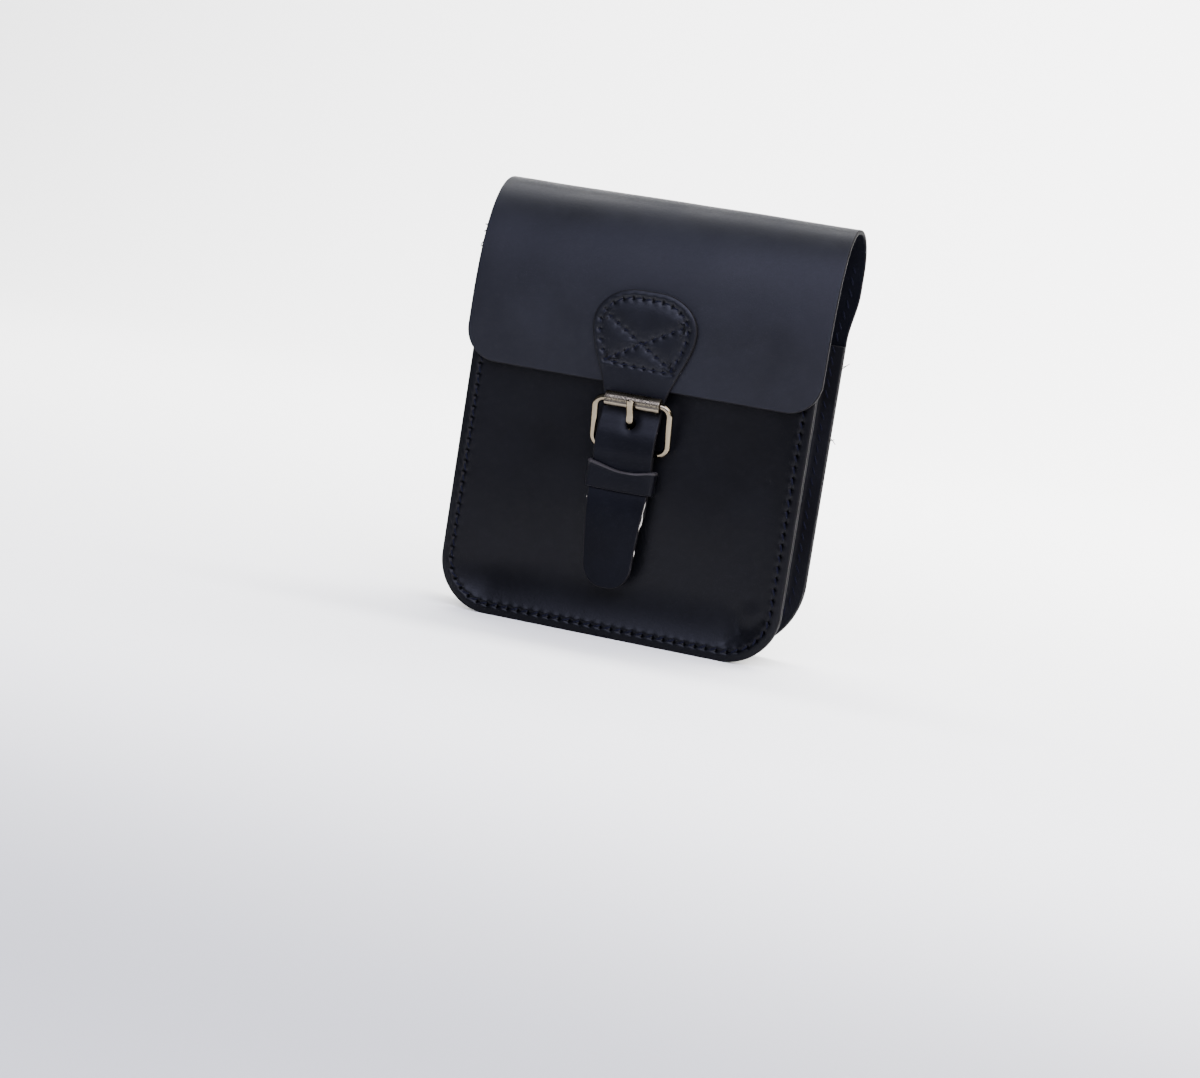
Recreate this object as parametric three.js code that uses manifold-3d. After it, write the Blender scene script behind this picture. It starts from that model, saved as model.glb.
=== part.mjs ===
// Bicycle handlebar bag: a small upright leather satchel with a flap, closed by a strap and a
// roller buckle, and carried on the bar by two loops on its back.
// Millimetres. X is to the right as one looks at the flap, Y runs from the flap to the bar, Z is up.
// While the pieces are made, the outer face of the front panel is at y = 0 and the base at z = 0.
import * as THREE from 'three';
import { mergeVertices } from 'three/addons/utils/BufferGeometryUtils.js';
import Module from 'manifold-3d';

const wasm = await Module();
wasm.setup();

// Leather
const panelLeather = 2.2;
const gussetLeather = 2.0;
const strapLeather = 2.2;
const tabLeather = 1.6;
const keeperLeather = 1.5;
const loopLeather = 2.2;

// Body
const bodyWidth = 170;
const bodyDepth = 44;
const bodyCorner = 26;
const backCorner = 38;
const mouthHeight = 155;
const flangeWidth = 8;
const gussetBend = 1.2;
const gussetDip = 2;

// Flap, which is the back panel carried on over the top
const topRise = 53.5;
const flapOverlap = 35;
const flapOverhang = 3;
const flapCorner = 16;
const flapClearance = 1.5;
const backBend = 16;
const levelTop = 1.7;
const rollDrop = 63;
const flareHeight = 24;

// Closing strap and its wide head, sewn to the flap
const strapWidth = 29;
const headWidth = 51;
const headRise = 45;
const headArch = 17;
const headCrown = 9;
const headTaper = 38;
const tipHeight = 24.5;
const tipNarrowing = 2.5;
const tipCrown = 3;
const tipTaper = 32;
const tipClearance = 4.2;

// Roller buckle. It hangs a little to the right of the strap's middle.
const wireDiameter = 3.2;
const buckleCorner = 4.6;
const buckleSidePlay = 2.3;
const buckleShift = 1.2;
const barToBar = 23.4;
const rollerDiameter = 6.4;
const rollerDrop = 6.8;
const prongWidth = 3.2;
const prongEye = 1.5;
const prongThickness = 2.4;
const prongOverhang = 3.2;

// Buckle tab and keeper
const tabInset = 1.5;
const tabTail = 11;
const keeperDrop = 9.5;
const keeperWidth = 10;
const keeperPlay = 0.5;
const keeperBend = 0.6;

// Handlebar loops
const barDiameter = 32;
const barDrop = 27;
const loopBand = 22;
const loopSpacing = 96;
const loopBend = 1.8;

// Free space: between touching pieces, round a wire in its bore, and at the sides of a slot
const fit = 0.3;
const slotPlay = 0.4;

// Heights above the base
const bagHeight = mouthHeight + topRise;
const flapEdgeHeight = mouthHeight - flapOverlap;
const headTop = flapEdgeHeight + headRise;
const rollerHeight = flapEdgeHeight - rollerDrop;

// Steps and sides of the round shapes
const arcSteps = 9;
const flareSteps = 4;
const taperSteps = 10;
const bendSteps = 3;
const settleSteps = 4;
const wireSides = 12;
const rollerSides = 20;
const eyeSides = 12;
const boreSides = 16;

const quarter = Math.PI / 2;

const blackLeather = { color: 0x1b1c22, roughness: 0.5, metalness: 0 };
const blackEdge = { color: 0x141417, roughness: 0.65, metalness: 0 };
const nickel = { color: 0xd6d0c4, roughness: 0.25, metalness: 1 };

function piece(name, geometry, look) {
  const mesh = new THREE.Mesh(geometry, new THREE.MeshStandardMaterial(look));
  mesh.name = name;
  return mesh;
}

// Turns a geometry's faces to point outwards, whichever way round its rings were given.
function facingOut(geometry) {
  const p = geometry.attributes.position;
  const index = geometry.index.array;
  const a = new THREE.Vector3();
  const b = new THREE.Vector3();
  const c = new THREE.Vector3();
  let volume = 0;
  for (let i = 0; i < index.length; i += 3) {
    a.fromBufferAttribute(p, index[i]);
    b.fromBufferAttribute(p, index[i + 1]);
    c.fromBufferAttribute(p, index[i + 2]);
    volume += a.dot(b.cross(c));
  }
  if (volume < 0) {
    for (let i = 0; i < index.length; i += 3) {
      [index[i], index[i + 1]] = [index[i + 1], index[i]];
    }
  }
  return geometry;
}

// Joins a row of like rings of points into one solid, closed on itself or with an end on each side.
// flat holds one ring's outline in its own plane, which gives the triangles of the ends.
function skinRings(rings, flat) {
  const count = rings[0].length;
  const closed = !flat;
  const index = [];
  const spans = closed ? rings.length : rings.length - 1;
  for (let i = 0; i < spans; i += 1) {
    const here = i * count;
    const next = ((i + 1) % rings.length) * count;
    for (let j = 0; j < count; j += 1) {
      const k = (j + 1) % count;
      index.push(here + j, here + k, next + k);
      index.push(here + j, next + k, next + j);
    }
  }
  if (!closed) {
    const last = (rings.length - 1) * count;
    const ends = THREE.ShapeUtils.triangulateShape(flat, []);
    const clockwise = THREE.ShapeUtils.isClockWise(flat);
    for (const [a, b, c] of ends) {
      const [u, v] = clockwise ? [b, c] : [c, b];
      index.push(a, u, v);
      index.push(last + a, last + v, last + u);
    }
  }
  const geometry = new THREE.BufferGeometry();
  const numbers = rings.flat().flatMap((v) => v.toArray());
  geometry.setAttribute('position', new THREE.Float32BufferAttribute(numbers, 3));
  geometry.setIndex(index);
  return facingOut(geometry);
}

// A path of (y, z) points that leather follows, read by the distance along it.
class LeatherPath {
  constructor(points) {
    this.points = points;
    this.reach = [0];
    for (let i = 1; i < points.length; i += 1) {
      this.reach.push(this.reach[i - 1] + points[i].distanceTo(points[i - 1]));
    }
    this.length = this.reach[points.length - 1];
  }

  // The direction to the left of the way along the path, square to the bend at each of its points.
  side(i) {
    const before = this.points[Math.max(i - 1, 0)];
    const after = this.points[Math.min(i + 1, this.points.length - 1)];
    const way = after.clone().sub(before).normalize();
    return new THREE.Vector2(-way.y, way.x);
  }

  at(distance) {
    const next = this.reach.findIndex((reach) => reach >= distance);
    const i = next < 0 ? this.points.length - 1 : Math.max(next, 1);
    const share = (distance - this.reach[i - 1]) / (this.reach[i] - this.reach[i - 1]);
    return {
      point: this.points[i - 1].clone().lerp(this.points[i], share),
      side: this.side(i - 1).lerp(this.side(i), share).normalize(),
    };
  }

  // The distance along the path where it first passes a height, going down.
  goingDownAt(height) {
    for (let i = this.points.length - 1; i > 0; i -= 1) {
      const [high, low] = [this.points[i - 1], this.points[i]];
      if (high.y >= height && low.y <= height) {
        const share = (high.y - height) / (high.y - low.y);
        return this.reach[i - 1] + share * (this.reach[i] - this.reach[i - 1]);
      }
    }
    return this.length;
  }
}

// A strip of leather bent along a path and straight across it. from and to are its two faces,
// measured to the left of the path; halfWidth gives its outline by the distance along the path.
// Of two rows of points closer than rowGap, only the first is kept.
const rowGap = 0.05;

function leatherStrip(path, from, to, halfWidth, extraStations) {
  const stations = [...path.reach, ...extraStations]
    .filter((s) => s >= 0 && s <= path.length)
    .sort((a, b) => a - b)
    .filter((s, i, all) => i === 0 || s - all[i - 1] > rowGap);
  const rings = stations.map((s) => {
    const { point, side } = path.at(s);
    const half = halfWidth(s);
    const near = point.clone().addScaledVector(side, from);
    const far = point.clone().addScaledVector(side, to);
    return [
      new THREE.Vector3(-half, near.x, near.y),
      new THREE.Vector3(half, near.x, near.y),
      new THREE.Vector3(half, far.x, far.y),
      new THREE.Vector3(-half, far.x, far.y),
    ];
  });
  const square = [[0, 0], [1, 0], [1, 1], [0, 1]].map(([x, y]) => new THREE.Vector2(x, y));
  return skinRings(rings, square);
}

// Distances from an end at which a rounded corner, or a round tip, needs a row of points.
function cornerStations(depth) {
  return Array.from({ length: arcSteps + 1 }, (_, i) => depth * (1 - Math.cos((quarter * i) / arcSteps)));
}

// How far a rounded corner stands back from the edge, at a distance from the end of the strip.
// It is a quarter of an ellipse, as wide and as deep as given.
function cornerInset(width, depth, distance) {
  const share = Math.min(distance / depth, 1);
  return width * (1 - Math.sqrt(1 - (1 - share) ** 2));
}

// Vertices closer than weldDistance are one.
const weldDistance = 1e-4;

function toManifold(geometry) {
  const bare = geometry.clone();
  bare.deleteAttribute('normal');
  bare.deleteAttribute('uv');
  const merged = mergeVertices(bare, weldDistance);
  return new wasm.Manifold(new wasm.Mesh({
    numProp: 3,
    vertProperties: new Float32Array(merged.attributes.position.array),
    triVerts: new Uint32Array(merged.index.array),
  }));
}

function cutAway(geometry, cutter) {
  const result = toManifold(geometry).subtract(toManifold(cutter)).getMesh();
  const cut = new THREE.BufferGeometry();
  cut.setAttribute('position', new THREE.Float32BufferAttribute(result.vertProperties, 3));
  cut.setIndex([...result.triVerts]);
  return cut;
}

function arcPoints(centreY, centreZ, radius, start, end, steps = arcSteps) {
  return Array.from({ length: steps + 1 }, (_, i) => {
    const angle = start + ((end - start) * i) / steps;
    return new THREE.Vector2(centreY + radius * Math.cos(angle), centreZ + radius * Math.sin(angle));
  });
}

// Back panel and flap: one piece of leather, up the back, over the top and down in front.
// The path is its outer face, so the leather lies to its left. crestPull and frontPull are the
// shares of the roll's run and of its drop over which the roll keeps level, and then upright.
const flapFace = -(flapClearance + panelLeather);
const crest = bodyDepth - backBend - levelTop;
const rollFoot = bagHeight - rollDrop;
const crestPull = 0.47;
const frontPull = 0.78;
const frontRoll = new THREE.CubicBezierCurve(
  new THREE.Vector2(crest, bagHeight),
  new THREE.Vector2(THREE.MathUtils.lerp(crest, flapFace, crestPull), bagHeight),
  new THREE.Vector2(flapFace, THREE.MathUtils.lerp(rollFoot, bagHeight, frontPull)),
  new THREE.Vector2(flapFace, rollFoot),
);
const backPath = new LeatherPath([
  new THREE.Vector2(bodyDepth, 0),
  ...arcPoints(bodyDepth - backBend, bagHeight - backBend, backBend, 0, quarter),
  ...frontRoll.getPoints(2 * arcSteps),
  new THREE.Vector2(flapFace, flapEdgeHeight),
]);

function backHalfWidth(s) {
  const flare = THREE.MathUtils.smoothstep(s, mouthHeight, mouthHeight + flareHeight);
  const half = bodyWidth / 2 + flapOverhang * flare;
  const left = backPath.length - s;
  return half - cornerInset(backCorner, backCorner, s) - cornerInset(flapCorner, flapCorner, left);
}

const backAndFlap = leatherStrip(backPath, 0, panelLeather, backHalfWidth, [
  ...cornerStations(backCorner),
  ...cornerStations(flapCorner).map((s) => backPath.length - s),
  ...Array.from({ length: flareSteps + 1 }, (_, i) => mouthHeight + (flareHeight * i) / flareSteps),
]);

// Front panel: a flat plate with rounded lower corners, open to the flap at the top.
function bodyOutline() {
  const half = bodyWidth / 2;
  const outline = new THREE.Shape();
  outline.moveTo(half, mouthHeight);
  outline.lineTo(-half, mouthHeight);
  outline.lineTo(-half, bodyCorner);
  outline.absarc(-half + bodyCorner, bodyCorner, bodyCorner, Math.PI, 3 * quarter, false);
  outline.absarc(half - bodyCorner, bodyCorner, bodyCorner, 3 * quarter, 4 * quarter, false);
  outline.closePath();
  return outline;
}

const frontPanel = new THREE.ExtrudeGeometry(bodyOutline(), {
  depth: panelLeather,
  bevelEnabled: false,
  curveSegments: arcSteps,
});
frontPanel.rotateX(quarter);
frontPanel.translate(0, panelLeather, 0);

// Gusset: one strip down a side, round the bottom and up the other side. It is a channel, whose
// two flanges turn outwards and are sewn to the panels edge to edge. Across it, the first number
// is the distance out from the wall and the second the depth behind the front panel's outer face.
// Its corners widen with the depth, from the front panel's to the back's.
const gussetFront = panelLeather + fit;
const gussetBack = bodyDepth - panelLeather - fit;

function gussetSection() {
  const outerBend = gussetBend + gussetLeather;
  const bend = (y, radius, start, end) => arcPoints(gussetBend, y, radius, start, end, bendSteps);
  const frontBend = gussetFront + outerBend;
  const backBendCentre = gussetBack - outerBend;
  return [
    new THREE.Vector2(flangeWidth, gussetFront),
    new THREE.Vector2(flangeWidth, gussetFront + gussetLeather),
    ...bend(frontBend, gussetBend, -quarter, -2 * quarter),
    ...bend(backBendCentre, gussetBend, 2 * quarter, quarter),
    new THREE.Vector2(flangeWidth, gussetBack - gussetLeather),
    new THREE.Vector2(flangeWidth, gussetBack),
    ...bend(backBendCentre, outerBend, quarter, 2 * quarter),
    ...bend(frontBend, outerBend, -2 * quarter, -quarter),
  ];
}

function gussetRings(section) {
  const wall = bodyWidth / 2 - flangeWidth;
  const top = mouthHeight - gussetDip;
  const turns = [];
  for (const side of [-1, 1]) {
    for (let i = 0; i <= arcSteps; i += 1) {
      const turn = (quarter * i) / arcSteps;
      turns.push({ side, angle: side < 0 ? Math.PI + turn : 3 * quarter + turn });
    }
  }
  const corners = turns.map(({ side, angle }) => section.map((p) => {
    const corner = THREE.MathUtils.mapLinear(p.y, gussetFront, gussetBack, bodyCorner, backCorner);
    const radius = corner - flangeWidth;
    return new THREE.Vector3(
      side * (wall - radius) + (radius + p.x) * Math.cos(angle),
      p.y,
      corner + (radius + p.x) * Math.sin(angle),
    );
  }));
  const end = (side) => section.map((p) => new THREE.Vector3(side * (wall + p.x), p.y, top));
  return [end(-1), ...corners, end(1)];
}

const section = gussetSection();
const gusset = skinRings(gussetRings(section), section);

// Buckle: a wire frame that leans forward, so that its roller presses on the strap from the front
// while its heel bar lies behind the strap, in the fold of the buckle tab.
const wireRadius = wireDiameter / 2;
const boreRadius = wireRadius + fit;
const rollerRadius = rollerDiameter / 2;
const eyeRadius = boreRadius + prongEye;
const tabFoldRadius = boreRadius + tabLeather;
const heelDepth = -(2 * fit + Math.max(eyeRadius, tabFoldRadius));
const rollerDepth = flapFace - strapLeather - 2 * fit - rollerRadius;
const lean = Math.asin((heelDepth - rollerDepth) / barToBar);
const heelHeight = rollerHeight - barToBar * Math.cos(lean);
const roller = new THREE.Vector2(rollerDepth, rollerHeight);
const heel = new THREE.Vector2(heelDepth, heelHeight);
const buckleWidth = strapWidth + 2 * buckleSidePlay + 2 * wireDiameter;
const rollerLength = buckleWidth - wireDiameter - 2 * buckleCorner - 2 * fit;

function wireFrame() {
  const halfWidth = buckleWidth / 2 - wireRadius;
  const halfLength = barToBar / 2;
  const outline = new THREE.Shape();
  const [x, y] = [halfWidth - buckleCorner, halfLength - buckleCorner];
  outline.absarc(x, y, buckleCorner, 0, quarter, false);
  outline.absarc(-x, y, buckleCorner, quarter, 2 * quarter, false);
  outline.absarc(-x, -y, buckleCorner, 2 * quarter, 3 * quarter, false);
  outline.absarc(x, -y, buckleCorner, 3 * quarter, 4 * quarter, false);
  const centres = outline.getPoints(arcSteps - 1);
  centres.pop();
  const rings = centres.map((centre, i) => {
    const before = centres[(i + centres.length - 1) % centres.length];
    const after = centres[(i + 1) % centres.length];
    const arrive = centre.clone().sub(before).normalize();
    const leave = after.clone().sub(centre).normalize();
    const way = arrive.add(leave).normalize();
    return Array.from({ length: wireSides }, (_, j) => {
      const angle = (2 * Math.PI * j) / wireSides;
      const out = wireRadius * Math.cos(angle);
      const lift = wireRadius * Math.sin(angle);
      return new THREE.Vector3(centre.x + out * way.y, centre.y - out * way.x, lift);
    });
  });
  return skinRings(rings);
}

const buckle = new THREE.Group();
buckle.position.set(buckleShift, (roller.x + heel.x) / 2, (roller.y + heel.y) / 2);
buckle.rotation.x = quarter + lean;
buckle.add(piece('buckle_frame', wireFrame(), nickel));

// Roller: a sheet tube that turns on the frame's top bar.
const rollerTube = new THREE.LatheGeometry([
  new THREE.Vector2(boreRadius, -rollerLength / 2),
  new THREE.Vector2(rollerRadius, -rollerLength / 2),
  new THREE.Vector2(rollerRadius, rollerLength / 2),
  new THREE.Vector2(boreRadius, rollerLength / 2),
  new THREE.Vector2(boreRadius, -rollerLength / 2),
], rollerSides);
const rollerMesh = piece('buckle_roller', rollerTube, nickel);
rollerMesh.rotation.z = quarter;
rollerMesh.position.set(0, barToBar / 2, 0);
buckle.add(rollerMesh);

// Prong: an eye round the heel bar and a straight tongue that rests on the front of the roller.
// It is drawn in (y, z) and has the same width all along.
const rest = rollerRadius + fit + prongThickness / 2;
const restPoint = new THREE.Vector2(roller.x - rest * Math.cos(lean), roller.y - rest * Math.sin(lean));
const tongueAim = restPoint.clone().sub(heel);
const eyeCentreline = boreRadius + prongEye / 2;
const tongueAngle = tongueAim.angle() - Math.asin(eyeCentreline / tongueAim.length());
const along = new THREE.Vector2(Math.cos(tongueAngle), Math.sin(tongueAngle));
const forward = new THREE.Vector2(-along.y, along.x);
const tongueLength = Math.sqrt(tongueAim.length() ** 2 - eyeCentreline ** 2) + prongOverhang;
const tongueRoot = tongueLength / 5;
const eyeTurn = 3.4 * quarter;

function prongShape() {
  const place = (distance, offset) => heel.clone()
    .addScaledVector(along, distance)
    .addScaledVector(forward, eyeCentreline + offset);
  const shape = new THREE.Shape();
  const back = place(tongueLength, -prongThickness / 2);
  const front = place(tongueLength, prongThickness / 2);
  const start = Math.atan2(forward.y, forward.x);
  const eyeRun = arcPoints(heel.x, heel.y, eyeRadius, start, start + eyeTurn, eyeSides);
  const rootFront = place(tongueRoot, prongThickness / 2);
  const rootBack = place(tongueRoot, -prongThickness / 2);
  shape.setFromPoints([...eyeRun, rootBack, back, front, rootFront]);
  shape.holes.push(new THREE.Path(arcPoints(heel.x, heel.y, boreRadius, 0, 4 * quarter, boreSides)));
  return shape;
}

const prong = new THREE.ExtrudeGeometry(prongShape(), { depth: prongWidth, bevelEnabled: false });
prong.applyMatrix4(new THREE.Matrix4().makeBasis(
  new THREE.Vector3(0, 1, 0),
  new THREE.Vector3(0, 0, 1),
  new THREE.Vector3(1, 0, 0),
));
prong.translate(buckleShift - prongWidth / 2, 0, 0);

// Buckle tab: a short strip folded over the heel bar, its rear layer sewn flat to the front panel.
// Its two layers hold the rear run of the keeper between them, and meet below it. They part from
// each other by tabSpread below the bar, which is a share of the way down to the keeper.
const tabSpreadShare = 0.75;
const tabRear = -(fit + tabLeather / 2);
const tabParted = tabRear - tabLeather - 2 * fit - keeperLeather;
const tabClosed = tabRear - tabLeather - fit;
const tabFoldCentre = boreRadius + tabLeather / 2;
const keeperTop = heelHeight - keeperDrop;
const keeperFoot = keeperTop - keeperWidth;
const tabFoot = keeperFoot - tabTail;
const tabSpread = tabSpreadShare * keeperDrop;
const tabPath = new LeatherPath([
  new THREE.Vector2(tabRear, tabFoot),
  new THREE.Vector2(tabRear, heel.y - tabSpread),
  ...arcPoints(heel.x, heel.y, tabFoldCentre, 0, 2 * quarter),
  new THREE.Vector2(tabParted, heel.y - tabSpread),
  new THREE.Vector2(tabParted, keeperFoot - fit),
  new THREE.Vector2(tabClosed, tabFoot + tabLeather),
  new THREE.Vector2(tabClosed, tabFoot),
]);
// The slot for the prong's eye goes right through the fold, and past the eye at each end.
const prongSlotReach = 2 * eyeRadius;
const prongSlotRise = 1.3 * eyeRadius;
const prongSlot = new THREE.BoxGeometry(
  prongWidth + 2 * slotPlay,
  2 * prongSlotReach,
  2 * prongSlotRise,
);
prongSlot.translate(buckleShift, heel.x, heel.y);
const tabStrip = leatherStrip(tabPath, -tabLeather / 2, tabLeather / 2, () => strapWidth / 2 - tabInset, []);
const buckleTab = cutAway(tabStrip, prongSlot);

// Closing strap: its arched head is sewn to the flap; below the flap it passes behind the roller,
// over the tab's fold and through the keeper, and hangs free to its tip. The path is the face
// that looks at the bag, and the leather lies to its right.
const strapAtFold = Math.min(heel.x - tabFoldRadius, heel.x - eyeRadius) - fit;
const strapAtKeeper = tabParted - tabLeather / 2 - fit;
const strapBack = flapFace - fit;
// How much of each bend keeps the line that it comes from, or goes to: over the bar, and off it
const foldHold = 0.6;
const settleStart = 0.45;
const settleEnd = 0.5;
// The least way between the head's top edge and the next row of points
const headFirstRow = 1;

function strapPathPoints() {
  const start = backPath.goingDownAt(headTop);
  const onFlap = [start, ...backPath.reach.filter((s) => s > start + headFirstRow)]
    .map((s) => backPath.at(s))
    .filter(({ point }) => point.y > flapEdgeHeight)
    .map(({ point, side }) => point.clone().addScaledVector(side, -fit));
  const fold = new THREE.CubicBezierCurve(
    new THREE.Vector2(strapBack, rollerHeight),
    new THREE.Vector2(strapBack, THREE.MathUtils.lerp(rollerHeight, heelHeight, foldHold)),
    new THREE.Vector2(strapAtFold, THREE.MathUtils.lerp(heelHeight, rollerHeight, foldHold)),
    new THREE.Vector2(strapAtFold, heelHeight),
  );
  const settle = new THREE.CubicBezierCurve(
    new THREE.Vector2(strapAtFold, heelHeight),
    new THREE.Vector2(strapAtFold, THREE.MathUtils.lerp(heelHeight, keeperTop, settleStart)),
    new THREE.Vector2(strapAtKeeper, THREE.MathUtils.lerp(heelHeight, keeperTop, settleEnd)),
    new THREE.Vector2(strapAtKeeper, keeperTop),
  );
  return [
    ...onFlap,
    ...fold.getPoints(arcSteps),
    ...settle.getPoints(settleSteps).slice(1),
    new THREE.Vector2(strapAtKeeper, keeperFoot),
    new THREE.Vector2(strapAtKeeper, tabFoot),
    new THREE.Vector2(-tipClearance, tipHeight),
  ];
}

const strapPath = new LeatherPath(strapPathPoints());

const tipRadius = strapWidth / 2 - tipNarrowing;

function strapHalfWidth(s) {
  const left = strapPath.length - s;
  const taper = THREE.MathUtils.smoothstep(s, headArch, headArch + headTaper);
  const narrowing = THREE.MathUtils.clamp((tipRadius + tipTaper - left) / tipTaper, 0, 1);
  return THREE.MathUtils.lerp(headWidth, strapWidth, taper) / 2
    - narrowing * tipNarrowing
    - cornerInset((headWidth - headCrown) / 2, headArch, s)
    - cornerInset(tipRadius - tipCrown / 2, tipRadius, left);
}

const strapStrip = leatherStrip(strapPath, 0, -strapLeather, strapHalfWidth, [
  ...cornerStations(headArch),
  ...Array.from({ length: taperSteps }, (_, i) => headArch + (headTaper * (i + 1)) / taperSteps),
  ...cornerStations(tipRadius).map((s) => strapPath.length - s),
  strapPath.length - tipRadius - tipTaper,
]);

// The prong crosses the strap at a slant, in a hole that its tongue has pulled to its own direction.
const tongueHole = new THREE.BoxGeometry(
  prongWidth + 2 * slotPlay,
  tongueLength,
  prongThickness + 2 * slotPlay,
);
tongueHole.translate(0, tongueLength / 2, eyeCentreline);
tongueHole.rotateX(tongueAngle);
tongueHole.translate(buckleShift, heel.x, heel.y);
const closingStrap = cutAway(strapStrip, tongueHole);

// Keeper: a closed band of leather round the strap and the tab's front layer.
function roundedBox(halfX, front, back, corner) {
  const shape = new THREE.Shape();
  shape.absarc(halfX - corner, back - corner, corner, 0, quarter, false);
  shape.absarc(-halfX + corner, back - corner, corner, quarter, 2 * quarter, false);
  shape.absarc(-halfX + corner, front + corner, corner, 2 * quarter, 3 * quarter, false);
  shape.absarc(halfX - corner, front + corner, corner, 3 * quarter, 4 * quarter, false);
  return shape;
}

const keeperRear = tabRear - tabLeather / 2 - fit;
const keeperFront = strapAtKeeper - strapLeather - fit - keeperLeather;
const keeperInner = strapWidth / 2 + keeperPlay;
const keeperCorner = keeperBend + keeperLeather;
const keeperShape = roundedBox(keeperInner + keeperLeather, keeperFront, keeperRear, keeperCorner);
keeperShape.holes.push(roundedBox(
  keeperInner,
  keeperFront + keeperLeather,
  keeperRear - keeperLeather,
  keeperBend,
));
const keeper = new THREE.ExtrudeGeometry(keeperShape, {
  depth: keeperWidth,
  bevelEnabled: false,
  curveSegments: bendSteps + 1,
});
keeper.translate(0, 0, keeperFoot);

// Handlebar loops: two plain closed bands on the back, flat on the panel and round behind the bar.
function archShape(radius, foot, corner) {
  const shape = new THREE.Shape();
  shape.absarc(0, 0, radius, -quarter, quarter, false);
  shape.lineTo(-foot + corner, radius);
  shape.absarc(-foot + corner, radius - corner, corner, quarter, 2 * quarter, false);
  shape.absarc(-foot + corner, -radius + corner, corner, 2 * quarter, 3 * quarter, false);
  shape.closePath();
  return shape;
}

function handlebarLoop(name, x) {
  const inner = barDiameter / 2 + fit;
  const shape = archShape(inner + loopLeather, inner + loopLeather, loopBend + loopLeather);
  shape.holes.push(archShape(inner, inner, loopBend));
  const band = new THREE.ExtrudeGeometry(shape, {
    depth: loopBand,
    bevelEnabled: false,
    curveSegments: arcSteps,
  });
  band.applyMatrix4(new THREE.Matrix4().makeBasis(
    new THREE.Vector3(0, 1, 0),
    new THREE.Vector3(0, 0, 1),
    new THREE.Vector3(1, 0, 0),
  ));
  const mesh = piece(name, band, blackLeather);
  mesh.position.set(x - loopBand / 2, bodyDepth + fit + loopLeather + inner, mouthHeight - barDrop);
  return mesh;
}

const handlebarBag = new THREE.Group();
handlebarBag.add(
  piece('back_and_flap', backAndFlap, blackLeather),
  piece('front_panel', frontPanel, blackLeather),
  piece('gusset', gusset, blackEdge),
  piece('closing_strap', closingStrap, blackLeather),
  buckle,
  piece('buckle_prong', prong, nickel),
  piece('buckle_tab', buckleTab, blackEdge),
  piece('strap_keeper', keeper, blackLeather),
  handlebarLoop('handlebar_loop_left', -loopSpacing / 2),
  handlebarLoop('handlebar_loop_right', loopSpacing / 2),
);

// The origin is at the middle of the whole bag, on the surface that it stands on.
const extent = new THREE.Box3().setFromObject(handlebarBag);
const middle = extent.getCenter(new THREE.Vector3());
handlebarBag.position.set(-middle.x, -middle.y, -extent.min.z);

export default handlebarBag;
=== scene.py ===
import math

import bmesh
import bpy
import numpy as np
from mathutils import Matrix, Vector


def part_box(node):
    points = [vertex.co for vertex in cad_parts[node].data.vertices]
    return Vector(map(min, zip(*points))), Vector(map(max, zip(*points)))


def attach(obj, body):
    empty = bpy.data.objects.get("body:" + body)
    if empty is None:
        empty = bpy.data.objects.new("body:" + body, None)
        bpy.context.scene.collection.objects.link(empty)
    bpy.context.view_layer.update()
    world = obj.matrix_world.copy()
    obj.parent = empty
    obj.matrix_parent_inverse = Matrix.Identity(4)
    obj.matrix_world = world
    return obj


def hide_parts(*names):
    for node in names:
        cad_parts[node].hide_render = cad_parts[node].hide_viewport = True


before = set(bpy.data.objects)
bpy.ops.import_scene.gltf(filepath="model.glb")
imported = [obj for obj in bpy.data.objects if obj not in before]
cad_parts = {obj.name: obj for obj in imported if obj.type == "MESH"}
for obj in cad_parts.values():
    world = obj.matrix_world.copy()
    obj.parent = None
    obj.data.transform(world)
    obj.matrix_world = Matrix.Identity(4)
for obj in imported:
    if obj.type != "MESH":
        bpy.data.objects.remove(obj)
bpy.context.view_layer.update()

# Camera. It stands to the right of the bag, level with its top, as in the photograph, and is rolled
# because the bag hangs aslant there. Places are in millimetres in the bag's own measure: x to the
# right, depth behind the front panel's face, height above the base.
MM = 0.001
front_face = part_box("front_panel")[0].y / MM
photo_width = 1200
focal_in_pixels = 2966
sensor_width = 36
camera_eye = (401.5, -1332.5, 202.8)
camera_aim = (-7.4, 0, 46)
camera_roll = math.radians(8.97)


def to_frame(points):
    """The bag's own millimetres as the frame's metres."""
    return (np.asarray(points, float) + [0, front_face, 0]) * MM


def add_object(name, data):
    made = bpy.data.objects.new(name, data)
    bpy.context.scene.collection.objects.link(made)
    return made


def aimed(centre, target):
    """The matrix of a camera or lamp that stands at one place and looks at another."""
    start, end = Vector(to_frame(centre)), Vector(to_frame(target))
    turn = (end - start).to_track_quat("-Z", "Y").to_matrix().to_4x4()
    return Matrix.Translation(start) @ turn


camera = add_object("camera", bpy.data.cameras.new("camera"))
bpy.context.scene.camera = camera
camera.data.sensor_width = sensor_width
camera.data.lens = focal_in_pixels / photo_width * sensor_width
camera.data.clip_start = 0.05
camera.data.clip_end = 50
camera.matrix_world = aimed(camera_eye, camera_aim) @ Matrix.Rotation(camera_roll, 4, "Z")


# Floor and backdrop: one pale sheet that runs back from under the bag and curves up behind it, so
# that no line shows where the floor ends. It is matt, and its colour turns grey towards the front:
# painted shade, as if the light fell off there, so that the panel reflects dark and stays black.
floor_near = -900
floor_far = 1500
backdrop_bend = 700
backdrop_top = 2600
backdrop_half_width = 3000
floor_colour = (0.92, 0.915, 0.905, 1)
floor_painted_shade = (0.36, 0.36, 0.37, 1)
floor_shade_fade = (-750, -250)


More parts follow.
